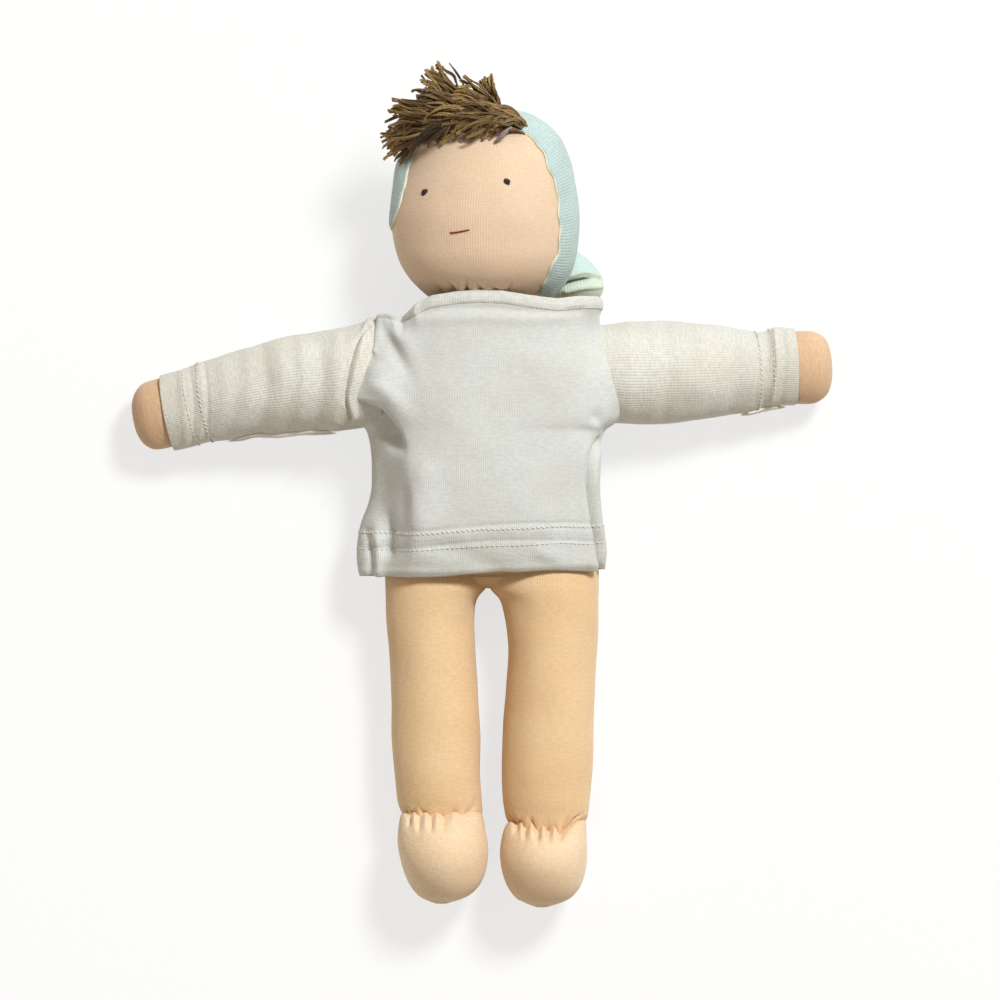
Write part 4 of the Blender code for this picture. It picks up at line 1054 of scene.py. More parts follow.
NECK_LINE = ((376, 12), (381, 10), (387, 10), (394, 12), (402, 15), (410, 12), (418, 5.5),
             (430, 0), (457, -4.5), (480, -6), (503, -5), (540, 1), (560, 3.5),
             (585, 1), (599, 1), (605, 3))
SHIRT_FOLDS = (
    (((350, 412), (362, 413.5), (374, 418), (384, 428), (396, 443), (409, 460)),
     7, -6.7, 0, 0.6),
    (((362, 382), (388, 394), (406, 416), (422, 442)), 9, 1.6, 0.2, 0.7),
    (((366, 362), (382, 378), (400, 398)), 12, 1.1, 0.3, 0.5),
    (((380, 315), (384, 332), (394, 350), (406, 370), (424, 402)), 7, -2, 0.3, 0.9),
    (((394, 322), (404, 342), (420, 368)), 9, 1, 0.3, 0.6),
    (((377, 318), (377.5, 335), (376, 352)), 3.2, 1),
    (((392, 314), (396, 324)), 4, 0.9),
    (((401, 314), (402, 326), (406, 340)), 4, -1, 0, 0.7),
    (((418, 440), (423, 480), (426, 520), (424, 566)), 17, 1.8, 0.3, 0.4),
    (((387, 505), (390, 530), (389, 564)), 5, -1.7, 0.4, 0.3),
    (((364, 522), (369, 545), (371, 578)), 3.6, -1.3, 0.4, 0),
    (((405, 476), (408, 500), (404, 528)), 5, -0.8, 0.5, 0.5),
    (((374, 512), (378.5, 545), (380, 578)), 4.6, 1.2, 0.5, 0),
    (((410, 475), (418, 515), (416, 572)), 10, 0.8, 0.4, 0.2),
    (((414, 313.5), (440, 310.5), (490, 309.5), (540, 313), (580, 311)), 4, -0.8),
    (((420, 321), (470, 318), (520, 319), (560, 318)), 6, 0.6),
    (((600, 434), (592, 454), (589, 478), (593, 517), (599, 553), (601, 571)),
     2, -4.6, 0.12, 0),
    (((596, 428), (584, 455), (581, 480), (585, 517), (591, 553), (594, 569)), 5, 0.8),
    (((604, 436), (597, 454), (594, 478), (598, 517), (603, 553), (604, 571)),
     2.4, 1.5, 0.15, 0.15),
    (((604, 408), (596, 418), (582, 424)), 8, -1.2, 0.5, 0.6),
    (((588, 430), (572, 450), (562, 485)), 14, 0.8, 0.3, 0.5),
    (((560, 480), (568, 530), (566, 575)), 12, -0.6, 0.5, 0.2),
    (((430, 545), (470, 556), (500, 572)), 9, -0.5),
    (((540, 552), (560, 560), (590, 562)), 7, 0.6),
    (((365, 530), (429, 530), (508, 524), (597, 523)), 1.6, -0.3),
    (((365, 547.5), (409, 548), (488, 541), (597, 541)), 1.6, -0.35),
    (((365, 539), (409, 539), (488, 532), (597, 532)), 4, 0.25),
    (((360, 571), (449, 571), (524, 567), (603, 564)), 3.2, 0.4),
)


# %% Shirt body
SHOULDER_END = 416.0
SHOULDER_BLEND = 14.0
SHOULDER_SHARE = 0.12
SHOULDER_HEIGHT = 31.0 * MM
SHOULDER_CLOSING = 0.97


def level_by_line(grid, line, share):
    """Shift rows up or down by a drawn line, as far as each row's share says."""
    line = np.array(line)
    across, _ = pixels_of(grid)
    grid = grid.copy()
    grid[:, :, 1] -= np.interp(across, line[:, 0], line[:, 1]) * PIXEL * share[:, None]
    return grid


def close_shoulder(grid):
    """Round the front and the back over the shoulder until they meet, beside the neckline."""
    across, _ = pixels_of(grid)
    beside = np.clip((SHOULDER_END - across) / SHOULDER_BLEND, 0.0, 1.0)
    late = np.clip(1.0 - (1.0 - np.linspace(0.0, 1.0, len(grid))) / SHOULDER_SHARE, 0.0, 1.0)
    round_off = 1.0 - np.sqrt(1.0 - SHOULDER_CLOSING * late[:, None] ** 2)
    grid = grid.copy()
    grid[:, :, 2] += (SHOULDER_HEIGHT - grid[:, :, 2]) * round_off * beside
    return grid


def slope_down(grid):
    """Lower the cloth towards the left. A row of the table says from where, how wide and how far."""
    across, down = pixels_of(grid)
    table = np.array(SHIRT_SLOPE)
    crest, width, depth = (
        np.interp(down[:, 0], table[:, 0], table[:, column])[:, None] for column in (1, 2, 3))
    grid = grid.copy()
    grid[:, :, 2] *= 1.0 - depth * ease(np.clip((crest - across) / width, 0.0, 1.0))
    return grid


def shirt_form():
    """The shirt's tube, with its hem and its neckline drawn in."""
    grid = slope_down(picture_tube(SHIRT_ROWS, 180, 276, 2.3, 0.68))
    up = (grid[:, 0, 1] - grid[0, 0, 1]) / (grid[-1, 0, 1] - grid[0, 0, 1])
    near_hem = np.clip(1.4 - up * 2.6, 0.0, 1.0)
    near_neck = np.clip(up * 5.0 - 4.0, 0.0, 1.0)
    grid = level_by_line(level_by_line(grid, HEM_LINE, near_hem), NECK_LINE, near_neck)
    grid = lumps(grid, 0.8 * MM, 24.0 * MM, 41)
    grid = lumps(grid, 0.25 * MM, 8.0 * MM, 42)
    grid = close_shoulder(folds(grid, SHIRT_FOLDS))
    return press(grid, 0.1 * MM)


shirt_grid = shirt_form()
shirt = cloth("shirt_body", shirt_grid, SHIRT, wall=0.8 * MM)
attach(shirt, "trunk")
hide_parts("shirt_front", "shirt_back")

# %% [markdown]
# ## Neck band
#
# The neckline is bound with a doubled strip of the same jersey. It stands a few millimetres above the
# neckline and its edge leans in. Towards the shoulder on the picture's left it gets narrower.

# %% Neck band
BAND_ON_ROW = -4
BAND_LINES = ((0.0, 0.15), (0.9, 0.6), (2.3, 0.6), (3.8, 0.2), (4.6, -0.6))
BAND_NARROW_END = 398.0
BAND_NARROW_BLEND = 16.0


def band_form():
    """The strip's lines, each some millimetres above the neckline and out of it, and rows between."""
    base = shirt_grid[BAND_ON_ROW]
    way = base - base.mean(axis=0)
    way[:, 1] = 0.0
    way /= np.linalg.norm(way, axis=1, keepdims=True)
    across, _ = pixels_of(base)
    full = 0.25 + 0.75 * np.clip((across - BAND_NARROW_END) / BAND_NARROW_BLEND, 0.0, 1.0)
    rows = []
    for rise, out in BAND_LINES:
        ring = base + way * out * MM * full[:, None]
        ring[:, 1] += rise * MM * full
        rows.append(ring)
    fine = []
    for share in np.linspace(0.0, len(rows) - 1.0, 21):
        first = min(int(share), len(rows) - 2)
        fine.append(rows[first] + (rows[first + 1] - rows[first]) * (share - first))
    return np.array(fine)


band_grid = band_form()
band = cloth("neck_band", band_grid, RIB, wall=1.0 * MM)
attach(band, "trunk")
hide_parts("shirt_neck_band")

# %% [markdown]
# ## Neck
#
# Under the band, the wool of the head is tied into a short column, which runs down into the trunk. It
# turns with the head and doesn't nod, so a head that nods back uncovers cloth there and not a hole.

# %% Neck column and its tie
NECK_ROWS = (
    (300, 470, 504, 25, 37),
    (305, 463, 511, 22.5, 39.5),
    (318, 461, 513, 21.6, 40.4),
    (335, 460, 514, 21.4, 40.6),
    (345, 468, 506, 25, 37),
)
neck_grid = lumps(picture_tube(NECK_ROWS, 40, 48), 0.3 * MM, 6.0 * MM, 51)
neck = cloth("neck_column", neck_grid, FACE, (True, True))
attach(neck, "neck")
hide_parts("neck_stuffing", "neck_tie")

# %% [markdown]
# ## Cap
#
# The cap is a close hood of mint jersey with a rolled, wavy edge. Its cloth is laid over the finished
# head: every point starts as a direction from the head's middle, a ray finds the skin there, and the
# point is set a millimetre outside it. Directions run from the edge round the face to the back. In
# three places the cap is loose, and there the cloth stands off a little more. A Shrinkwrap modifier
# could lay the cloth on as well, but with rays the same few lines also say where it stays loose.

# %% Directions round the cap's edge
CAP_AROUND = 260
CAP_ROWS = 90
CAP_EDGE_SEEN = (
    (534.5, 297.5), (544, 283), (552.5, 264), (557.5, 247), (560, 228), (558, 208),
    (556, 190), (549, 168), (540, 150), (524, 133), (500, 127), (470, 127),
    (440, 133), (421, 145), (411.5, 163), (406, 182), (401.5, 200), (396.6, 218))
CAP_EDGE_FINE = 900
CAP_EDGE_HIDDEN = (
    (-31, -8.5, -5), (-27, -13, -12), (-23, -17, -15), (-16, -23, -16),
    (-5, -26, -16), (8, -27, -13), (15, -27.5, -3), (17, -27.5, 6))


def cap_edge():
    """Unit directions from the head's middle, evenly round the edge of the cap."""
    ways = [on_face(*place)[0] - HEAD_MIDDLE for place in CAP_EDGE_SEEN]
    ways += [Vector(way) * MM for way in CAP_EDGE_HIDDEN]
    ways = [tuple(way.normalized()) for way in ways]
    looped = np.array(ways[-3:] + ways + ways[:3])
    fine = flow(looped, CAP_EDGE_FINE)
    run = running(steps_along(fine))
    third = CAP_EDGE_FINE // 3
    first = np.argmin(np.linalg.norm(fine[:third] - ways[0], axis=1))
    last = 2 * third + np.argmin(np.linalg.norm(fine[2 * third:] - ways[0], axis=1))
    wanted = np.linspace(run[first], run[last], CAP_AROUND, endpoint=False)
    return np.stack([np.interp(wanted, run, fine[:, axis]) for axis in range(3)], axis=1)


# %% Cap
CAP_POLE = Vector((0.25, 0.20, -0.95)).normalized()
CAP_REACH = 0.985
CAP_FIRST_LIFT = 0.25
CAP_LOOSE = (
    ((540, 122, 36), 8, 2.2),
    ((400, 156, 30), 18, 2.8),
    ((566, 286, 22), 16, 2.8),
)


def looseness(way):
    """How far the cap stands off the head in a direction, in millimetres."""
    return sum(
        max(way.dot((over(across, down, height * MM) - HEAD_MIDDLE).normalized()), 0.0) ** power * most
        for (across, down, height), power, most in CAP_LOOSE)


def on_head(way, lift):
    """The point outside the head's skin in a direction from its middle."""
    way = Vector(way).normalized()
    hit = head_tree.ray_cast(HEAD_MIDDLE + way * 100.0 * MM, -way)[0]
    return hit + way * lift


def cap_form():
    """Rows of cloth from the edge to the crown's back."""
    edge = cap_edge()
    rows = []
    for row in range(CAP_ROWS):
        run = row / (CAP_ROWS - 1) * CAP_REACH
        ring = []
        for step in range(CAP_AROUND):
            wave = 0.010 * math.sin(step * 0.62) + 0.008 * math.sin(step * 0.29 + 1.0)
            way = Vector(edge[step]).slerp(CAP_POLE, run + wave * (1.0 - run))
            loose = looseness(way) * min(row / 8.0, 1.0)
            lift = CAP_FIRST_LIFT + (0.35 + 0.75 * max(way.x, 0.0)) * min(row / 10.0, 1.0) + loose
            ring.append(on_head(way, lift * MM))
        rows.append(ring)
    grid = soften(np.array(rows), 3)
    return press(lumps(grid, 0.35 * MM, 9.0 * MM, 61), 0.1 * MM)


cap_grid = cap_form()
cap = cloth("cap_hood", cap_grid, CAP, (False, True), wall=-0.6 * MM)
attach(cap, "head")
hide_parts("cap_crown")

# %% [markdown]
# ## The cap's rolled edge
#
# Cut jersey curls, so the edge is a soft roll of uneven thickness. A second tree makes it: it follows
# the cap's first row, and a noise field changes the roll's thickness along the way. With its Taper
# input the same tree makes rolls with thin ends, which the seams under the sleeves need later on.

# %% Rolled edge
def roll_tree():
    """A round roll along a line, thicker here and thinner there. Taper 1 thins its ends."""
    tree, start, end = start_tree("roll", {"Thickness": "Float", "Taper": "Float", "Finish": "Material"})
    line = plug(tree, "GeometryNodeMeshToCurve", {"Mesh": start.outputs["Carrier"]})
    place = plug(tree, "GeometryNodeInputPosition")
    uneven = plug(tree, "ShaderNodeTexNoise", {"Vector": place, "Scale": 260.0, "Detail": 1.0})
    radius = calc(tree, "MULTIPLY", start.outputs["Thickness"], 0.5)
    profile = plug(tree, "GeometryNodeCurvePrimitiveCircle", {"Resolution": 10, "Radius": radius})
    thin = calc(tree, "POWER", calc(tree, "ADD", hill_along(tree), 0.003), start.outputs["Taper"])
    scale = calc(tree, "MULTIPLY", calc(tree, "ADD", 0.45, uneven), thin)
    roll = plug(tree, "GeometryNodeCurveToMesh", {
        "Curve": line, "Profile Curve": profile, "Scale": scale, "Fill Caps": True})
    close_tree(tree, end, roll, start.outputs["Finish"])
    return tree


ROLL = roll_tree()


def weave_by_place(piece):
    """Texture coordinates in metres for a grown mesh, from the places of its corners."""
    layer = piece.data.uv_layers.new(name="weave")
    for loop in piece.data.loops:
        place = piece.data.vertices[loop.vertex_index].co
        layer.data[loop.index].uv = (place.x + place.z, place.y)


cap_ring = cap_grid[0] + normals_of(cap_grid)[0] * 0.1 * MM
roll = grow(
    "cap_rolled_edge", lines_of([cap_ring], [cap_ring], ring=True), ROLL,
    {"Thickness": 0.9 * MM, "Taper": 0.0, "Finish": CAP_ROLL})
weave_by_place(roll)
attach(roll, "head")
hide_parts("cap_edge")

# %% [markdown]
# ## The cap's tail
#
# A flattened pouch of the same jersey hangs from the nape. Its upper layer is mint, and it ends in a
# seam. Below the seam a slit opens, and the pale green lower layer shows.

# %% Cap tail
TAIL_ROWS = (
    (243, 560, 568, 8, 13),
    (249.5, 553, 575.5, 5, 17),
    (258.4, 549, 587.4, 3, 19),
    (266, 548, 594.8, 2, 20),
    (272, 548, 599.6, 1.5, 20.5),
    (281, 541, 603.6, 1.2, 20.3),
    (291, 541, 603, 1.2, 18.5),
    (297, 544, 599, 2, 16),
    (301.5, 553, 592, 5, 13),
    (303, 566, 580, 7.5, 10),
)
TAIL_SEAM = ((560, 280), (569.5, 276.5), (588, 272), (601.5, 275.6), (608, 278))
TAIL_FOLDS = (
    (TAIL_SEAM, 1.5, 0.8),
    (((566, 283), (574, 280.5), (588, 277), (601, 279)), 2.6, -0.7),
    (((558, 288.5), (567, 285), (582.5, 281), (595.5, 278.4)), 1.9, -4.2, 0.1, 0.3),
    (((566, 291), (584, 287.5), (601, 286)), 2.6, 0.9),
    (((566, 266), (580, 262), (594, 270)), 9, -0.8),
)
tail_grid = picture_tube(TAIL_ROWS, 130, 160, 2.5, 0.65)
tail_grid = press(folds(lumps(tail_grid, 0.3 * MM, 8.0 * MM, 71), TAIL_FOLDS), 1.2 * MM)
tail = cloth("cap_tail_pouch", tail_grid, CAP_TAIL, (True, True))
tail.data.materials.append(CAP_GREEN)
seam = np.array(TAIL_SEAM)
for polygon in tail.data.polygons:
    across, down = pixels_of(np.array(polygon.center))
    if down > np.interp(across, seam[:, 0], seam[:, 1]) - 1.0:
        polygon.material_index = 1
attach(tail, "head")
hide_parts("cap_tail")

# %% [markdown]
# ## Hair
#
# The fringe is brown wool yarn, sewn along the brow and combed to one side. Each tuft is one drawn
# line. A tree copies it many times, spreads the copies, cuts them to uneven lengths, waves them, and
# twists two plies round each, which is what makes yarn look like yarn. Hair particles would be quicker
# to draw, but they are no mesh, and yarn this thick shows its twist.

# %% Yarn finish
def yarn_finish(name, dark, middle, tip):
    """Wool yarn, dark to middle brown by each strand's painted light and shade, and golden at cut ends."""
    finish, tree, shader = start_finish(name)
    painted_light = add_node(tree, "ShaderNodeAttribute", attribute_name="painted_light").outputs["Fac"]
    along = add_node(tree, "ShaderNodeAttribute", attribute_name="along").outputs["Fac"]
    body = add_node(tree, "ShaderNodeTexCoord").outputs["Object"]
    fibre = cloud(tree, body, 1800.0, 2.0)
    # Each strand's colour runs from dark to middle by its painted light: painted shade and light in the
    # tuft.
    shade = blend_colours(tree, painted_light, dark, middle)
    edge = calc(tree, "MULTIPLY", calc(tree, "POWER", along, 7.0), calc(tree, "ADD", 0.1, painted_light))
    end = calc(tree, "MINIMUM", edge, 1.0)
    shade = blend_colours(tree, end, shade, tip)
    shade = blend_colours(tree, calc(tree, "MULTIPLY", fibre, 0.45), shade, dark)
    tree.links.new(shade, shader.inputs["Base Color"])
    tree.links.new(calc(tree, "ADD", 0.6, calc(tree, "MULTIPLY", fibre, 0.3)), shader.inputs["Roughness"])
    shader.inputs["Sheen Weight"].default_value = 0.12
    shader.inputs["Specular IOR Level"].default_value = 0.3
    raise_surface(tree, shader, fibre, 0.7, 0.12)
    return finish


# %% The tree that grows yarn
def hashed(tree, low, high, seed, kind="FLOAT"):
    """A random value for each strand."""
    strand = plug(tree, "GeometryNodeInputIndex")
    return plug(tree, "FunctionNodeRandomValue", {
        "Min": low, "Max": high, "ID": strand, "Seed": seed}, data_type=kind)


def keep(tree, shape, label, value, domain, kind="FLOAT"):
    """Store a value on the shape under a name."""
    return plug(tree, "GeometryNodeStoreNamedAttribute", {
        "Geometry": shape, "Name": label, "Value": value}, domain=domain, data_type=kind)


def kept(tree, label, kind="FLOAT"):
    """Read a stored value."""
    return plug(tree, "GeometryNodeInputNamedAttribute", {"Name": label}, data_type=kind)


def yarn_tree():
    """Copy each drawn tuft into strands of two-ply yarn."""
    tree, start, end = start_tree("yarn", {
        "Strands": "Int", "Spread": "Float", "Ply": "Float", "Wave": "Float", "Twist": "Float",
        "Shortest": "Float", "Finish": "Material"})
    line = plug(tree, "GeometryNodeMeshToCurve", {"Mesh": start.outputs["Carrier"]})
    line = plug(tree, "GeometryNodeDuplicateElements", {
        "Geometry": line, "Amount": start.outputs["Strands"]}, domain="SPLINE")
    way = hashed(tree, (-1.0, -1.0, -1.0), (1.0, 1.0, 1.0), 3, "FLOAT_VECTOR")
    line = keep(tree, line, "way", way, "CURVE", "FLOAT_VECTOR")
    # A random share times the tuft's lit value is each strand's painted light and shade.
    painted_light = calc(tree, "MULTIPLY", hashed(tree, 0.15, 1.0, 5), kept(tree, "lit"))
    line = keep(tree, line, "painted_light", painted_light, "CURVE")
    cut = hashed(tree, start.outputs["Shortest"], 1.0, 7)
    line = plug(tree, "GeometryNodeTrimCurve", {"Curve": line, "End": cut})
    line = plug(tree, "GeometryNodeResampleCurve", {"Curve": line, "Count": 23})
    place = plug(tree, "GeometryNodeSplineParameter")
    line = keep(tree, line, "along", place, "POINT")

    fan = calc(tree, "ADD", 0.60, calc(tree, "MULTIPLY", place, 0.12))
    fan = calc(tree, "MULTIPLY", fan, calc(tree, "MULTIPLY", start.outputs["Spread"], kept(tree, "spread")))
    offset = plug(tree, "ShaderNodeVectorMath", {
        "Vector": kept(tree, "way", "FLOAT_VECTOR"), "Scale": fan}, operation="SCALE")
    line = plug(tree, "GeometryNodeSetPosition", {"Geometry": line, "Offset": offset})
    spot = add_node(tree, "ShaderNodeVectorMath", operation="ADD")
    tree.links.new(plug(tree, "GeometryNodeInputPosition"), spot.inputs[0])
    far = plug(tree, "ShaderNodeVectorMath", {
        "Vector": kept(tree, "way", "FLOAT_VECTOR"), "Scale": 0.6}, operation="SCALE")
    tree.links.new(far, spot.inputs[1])
    cloudy = add_node(tree, "ShaderNodeTexNoise")
    cloudy.inputs["Scale"].default_value = 60.0
    cloudy.inputs["Detail"].default_value = 1.0
    tree.links.new(spot.outputs[0], cloudy.inputs["Vector"])
    shift = add_node(tree, "ShaderNodeVectorMath", operation="SUBTRACT")
    tree.links.new(cloudy.outputs["Color"], shift.inputs[0])
    shift.inputs[1].default_value = (0.5, 0.5, 0.5)
    sway = calc(tree, "MULTIPLY", calc(tree, "ADD", 0.3, place), start.outputs["Wave"])
    sway = plug(tree, "ShaderNodeVectorMath", {
        "Vector": shift.outputs[0], "Scale": sway}, operation="SCALE")
    line = plug(tree, "GeometryNodeSetPosition", {"Geometry": line, "Offset": sway})
    turn = calc(tree, "ADD", calc(tree, "MULTIPLY", place, start.outputs["Twist"]),
                calc(tree, "MULTIPLY", kept(tree, "painted_light"), 6.0))
    line = plug(tree, "GeometryNodeSetCurveTilt", {"Curve": line, "Tilt": turn})

    ply = plug(tree, "GeometryNodeCurvePrimitiveCircle", {"Resolution": 7, "Radius": start.outputs["Ply"]})
    both = add_node(tree, "GeometryNodeJoinGeometry")
    for side in (-0.9, 0.9):
        move = add_node(tree, "ShaderNodeCombineXYZ")
        tree.links.new(calc(tree, "MULTIPLY", start.outputs["Ply"], side), move.inputs[0])
        one = plug(tree, "GeometryNodeTransform", {"Geometry": ply, "Translation": move.outputs[0]})
        tree.links.new(one, both.inputs[0])
    full = calc(tree, "SUBTRACT", 1.0, calc(tree, "MULTIPLY", calc(tree, "POWER", place, 6.0), 0.25))
    yarn = plug(tree, "GeometryNodeCurveToMesh", {
        "Curve": line, "Profile Curve": both.outputs[0], "Scale": full, "Fill Caps": True})
    close_tree(tree, end, yarn, start.outputs["Finish"])
    return tree


YARN = yarn_tree()

# %% Tufts
TUFTS = (
    (0.55, ((468, 106, 52), (452, 95, 56), (440, 81, 56), (430, 66, 52))),
    (0.55, ((472, 107, 52), (457, 94, 57), (446, 81, 57), (438, 67, 53))),
    (0.60, ((462, 106, 53), (446, 96, 58), (434, 88, 57), (422, 82, 53))),
    (0.50, ((466, 101, 55), (452, 90, 59), (440, 80, 58), (429, 73, 55))),
    (0.90, ((478, 113, 56), (452, 99, 60), (434, 92, 58), (418, 91, 54))),
    (0.90, ((472, 113, 56), (446, 101, 61), (427, 98, 58), (410, 99, 53))),
    (0.80, ((464, 115, 57), (438, 106, 61), (420, 105, 57), (405, 108, 52))),
    (0.65, ((456, 117, 57), (428, 109, 60), (410, 107, 56), (396, 103, 52))),
    (0.70, ((453, 119, 56), (426, 113, 60), (406, 110, 56), (391, 109, 51))),
    (0.70, ((450, 121, 56), (424, 116, 59), (406, 114, 56), (390, 117, 50))),
    (0.70, ((446, 123, 55), (424, 121, 58), (411, 121, 55), (399, 126, 50))),
    (0.90, ((502, 117, 52), (484, 105, 57), (468, 99, 60), (452, 95, 60))),
    (0.80, ((500, 114, 52), (484, 100, 57), (472, 92, 58), (460, 84, 56))),
    (0.90, ((505, 119, 50), (486, 110, 58), (468, 107, 62), (452, 107, 61))),
    (1.00, ((498, 117, 56), (478, 109, 61), (458, 109, 63), (440, 113, 60))),
    (1.00, ((492, 121, 57), (470, 115, 62), (450, 117, 62), (432, 123, 57))),
    (0.90, ((486, 113, 58), (464, 105, 62), (444, 105, 62), (428, 109, 59))),
    (1.00, ((474, 119, 60), (452, 113, 63), (434, 117, 60), (419, 125, 55))),
    (0.36, ((499, 112, 46), (494, 101, 50), (488, 91, 52), (481, 81, 51))),
    (0.36, ((501, 113, 46), (497, 102, 50), (491, 91, 52), (486, 80, 51))),
    (0.34, ((498, 110, 46), (493, 101, 49), (487, 92, 50), (483, 83, 49))),
    (0.80, ((525, 139, 41), (517, 122, 49), (499, 114, 56), (479, 115, 60), (463, 122, 60))),
    (0.80, ((524, 137, 42), (512, 120, 51), (492, 115, 58), (472, 120, 61), (456, 130, 58))),
    (0.80, ((523, 134, 43), (508, 119, 52), (488, 119, 59), (470, 128, 59), (456, 138, 53))),
    (0.80, ((524, 138, 42), (514, 125, 50), (498, 121, 57), (483, 126, 60), (473, 135, 56))),
    (0.70, ((524, 138, 42), (516, 128, 49), (506, 125, 55), (495, 128, 58), (486, 133, 57))),
    (0.80, ((522, 135, 44), (510, 123, 52), (496, 120, 57), (480, 123, 61), (467, 131, 59))),
    (0.60, ((482, 119, 60), (467, 125, 61), (456, 132, 58), (447, 140, 53))),
    (0.65, ((468, 119, 61), (451, 123, 60), (441, 131, 56), (434, 140, 50))),
    (0.55, ((488, 122, 60), (479, 127, 60), (471, 132, 58), (464, 137, 55))),
    (0.55, ((496, 122, 58), (489, 126, 59), (485, 130, 58), (481, 134, 56))),
    (0.70, ((460, 121, 61), (442, 125, 59), (430, 134, 53), (421, 145, 47))),
    (0.75, ((454, 121, 60), (428, 127, 57), (405, 132, 50), (387, 139, 44))),
    (0.80, ((450, 123, 60), (425, 131, 55), (403, 138, 48), (385, 148, 42))),
    (0.80, ((446, 127, 58), (424, 135, 54), (405, 146, 46), (393, 162, 40))),
    (0.80, ((448, 125, 59), (425, 135, 54), (406, 143, 47), (389, 156, 42))),
    (0.60, ((442, 129, 57), (421, 138, 51), (409, 148, 45), (398, 160, 40))),
    (0.60, ((440, 121, 60), (417, 124, 55), (402, 130, 50), (391, 136, 46))),
)
TUFT_POINTS = 14
HAIR_YARN = yarn_finish("brown yarn", (0.044, 0.022, 0.006), (0.395, 0.250, 0.095), (0.54, 0.33, 0.09))


def tuft_lines(tufts):
    """The drawn tufts as smooth lines. Each one's spread and painted light are kept on its points."""
    lines = [flow([tuple(over(x, y, z * MM)) for x, y, z in points], TUFT_POINTS) for _, points in tufts]
    carrier = lines_of(lines, lines)
    spreads = [spread for spread, _ in tufts for _ in range(TUFT_POINTS)]
    # How lit each tuft looks is drawn at random, and its strands' colour carries it as painted light and
    # shade.
    lit = np.random.default_rng(4).uniform(0.45, 1.15, len(tufts)).repeat(TUFT_POINTS)
    for label, values in (("spread", spreads), ("lit", lit)):
        layer = carrier.data.attributes.new(label, "FLOAT", "POINT")
        layer.data.foreach_set("value", values)
    return carrier


hair = grow("hair_yarn", tuft_lines(TUFTS), YARN, {
    "Strands": 8, "Spread": 2.9 * MM, "Ply": 0.36 * MM, "Wave": 10.0 * MM, "Twist": 6.0,
    "Shortest": 0.85, "Finish": HAIR_YARN})
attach(hair, "head")
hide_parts("hair_fringe")

# %% Loose strands, and dark strands of painted shade
LOOSE_DARK = (
    (1, ((499, 108, 50), (504, 111, 50), (508, 117, 49), (512, 121, 48))),
    (1, ((505, 117, 50), (512, 118, 50), (520, 125, 48), (524, 133, 46), (525, 140, 44))),
    (1, ((466, 92, 52), (460, 81, 52), (454, 72, 51), (448, 64, 50))),
    (1, ((428, 138, 46), (418, 138, 47), (410, 143, 46), (405, 150, 44))),
)
# Strands of dark yarn where the fringe is darkest: their dark colour is painted shade.
SHADED = (
    (2, ((458, 114, 61), (442, 122, 60), (430, 132, 55), (418, 144, 49))),
    (2, ((424, 131, 51), (413, 141, 48), (407, 153, 46), (402, 164, 41))),
    (2, ((474, 111, 62), (460, 115, 63), (448, 120, 61), (437, 127, 58))),
    (2, ((450, 106, 62), (438, 109, 61), (429, 112, 60), (420, 118, 57))),
    (2, ((496, 124, 58), (486, 124, 60), (474, 128, 60), (464, 134, 57))),
    (1.5, ((452, 97, 59), (442, 90, 59), (433, 85, 57), (424, 83, 54))),
    (2.2, ((441, 127, 63), (432, 131, 61), (424, 138, 57), (415, 147, 52))),
    (2.2, ((434, 125, 62), (426, 131, 59), (418, 139, 55), (410, 149, 50))),
    (1.8, ((446, 131, 62), (439, 135, 60), (432, 139, 57), (424, 145, 53))),
)
LOOSE_PALE = ((1, ((510, 129, 56), (505, 134, 60), (500, 138, 60), (495, 143, 58))),)
DARK_YARN = yarn_finish("dark yarn", (0.022, 0.012, 0.007), (0.060, 0.036, 0.020), (0.09, 0.05, 0.03))
# The shaded yarn's dark colours are painted shade.
SHADED_YARN = yarn_finish("shaded yarn", (0.030, 0.015, 0.005), (0.120, 0.068, 0.026), (0.33, 0.19, 0.06))
PALE_YARN = yarn_finish("greyed yarn", (0.22, 0.16, 0.16), (0.34, 0.27, 0.28), (0.38, 0.30, 0.30))
for name, lines, finish, count, thin in (
        ("hair_shaded", SHADED, SHADED_YARN, 5, 0.34),
        ("hair_loose_dark", LOOSE_DARK, DARK_YARN, 1, 0.24),
        ("hair_loose_pale", LOOSE_PALE, PALE_YARN, 1, 0.42)):
    strands = grow(name, tuft_lines(lines), YARN, {
        "Strands": count, "Spread": 0.5 * MM, "Ply": thin * MM, "Wave": 1.0 * MM, "Twist": 4.0,
        "Shortest": 0.95, "Finish": finish})
    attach(strands, "head")

# %% [markdown]
# ## Seams and hems
#
# A hem on jersey is held by two rows of stitches a quarter of an inch apart. Every row is found on the
# cloth's own grid: a distance from the edge gives the row, and the length round it gives the stitches,
# so they follow each fold. Under each sleeve the cut edges of its seam show as two pale ridges, made by
# the tree that made the cap's roll. Their paler jersey is painted light, as they lie in the sleeve's
# shadow.

# %% Rows of stitches
def sample(grid, rows, steps, lift=0.0):
    """Points on a grid between its rows and steps, and the ways out of the cloth there."""
    both = np.concatenate((grid, normals_of(grid)), axis=2)
    around = grid.shape[1]
    rows = np.clip(rows, 0.0, len(grid) - 1.001)
    low, near = rows.astype(int), np.floor(steps).astype(int)
    t, u = (rows - low)[:, None], (steps - near)[:, None]
    near, after = near % around, (near + 1) % around
    value = (
        both[low, near] * (1 - t) * (1 - u) + both[low, after] * (1 - t) * u
        + both[low + 1, near] * t * (1 - u) + both[low + 1, after] * t * u)
    out = value[:, 3:] / np.linalg.norm(value[:, 3:], axis=1, keepdims=True)
    return value[:, :3] + out * lift, out


def row_at(grid, distance):
    """The row at a distance in millimetres from the first edge, or from the last if negative."""
    run = running(steps_along(grid).mean(axis=1))
    wanted = distance * MM if distance >= 0.0 else run[-1] + distance * MM
    return float(np.interp(wanted, run, np.arange(len(run))))


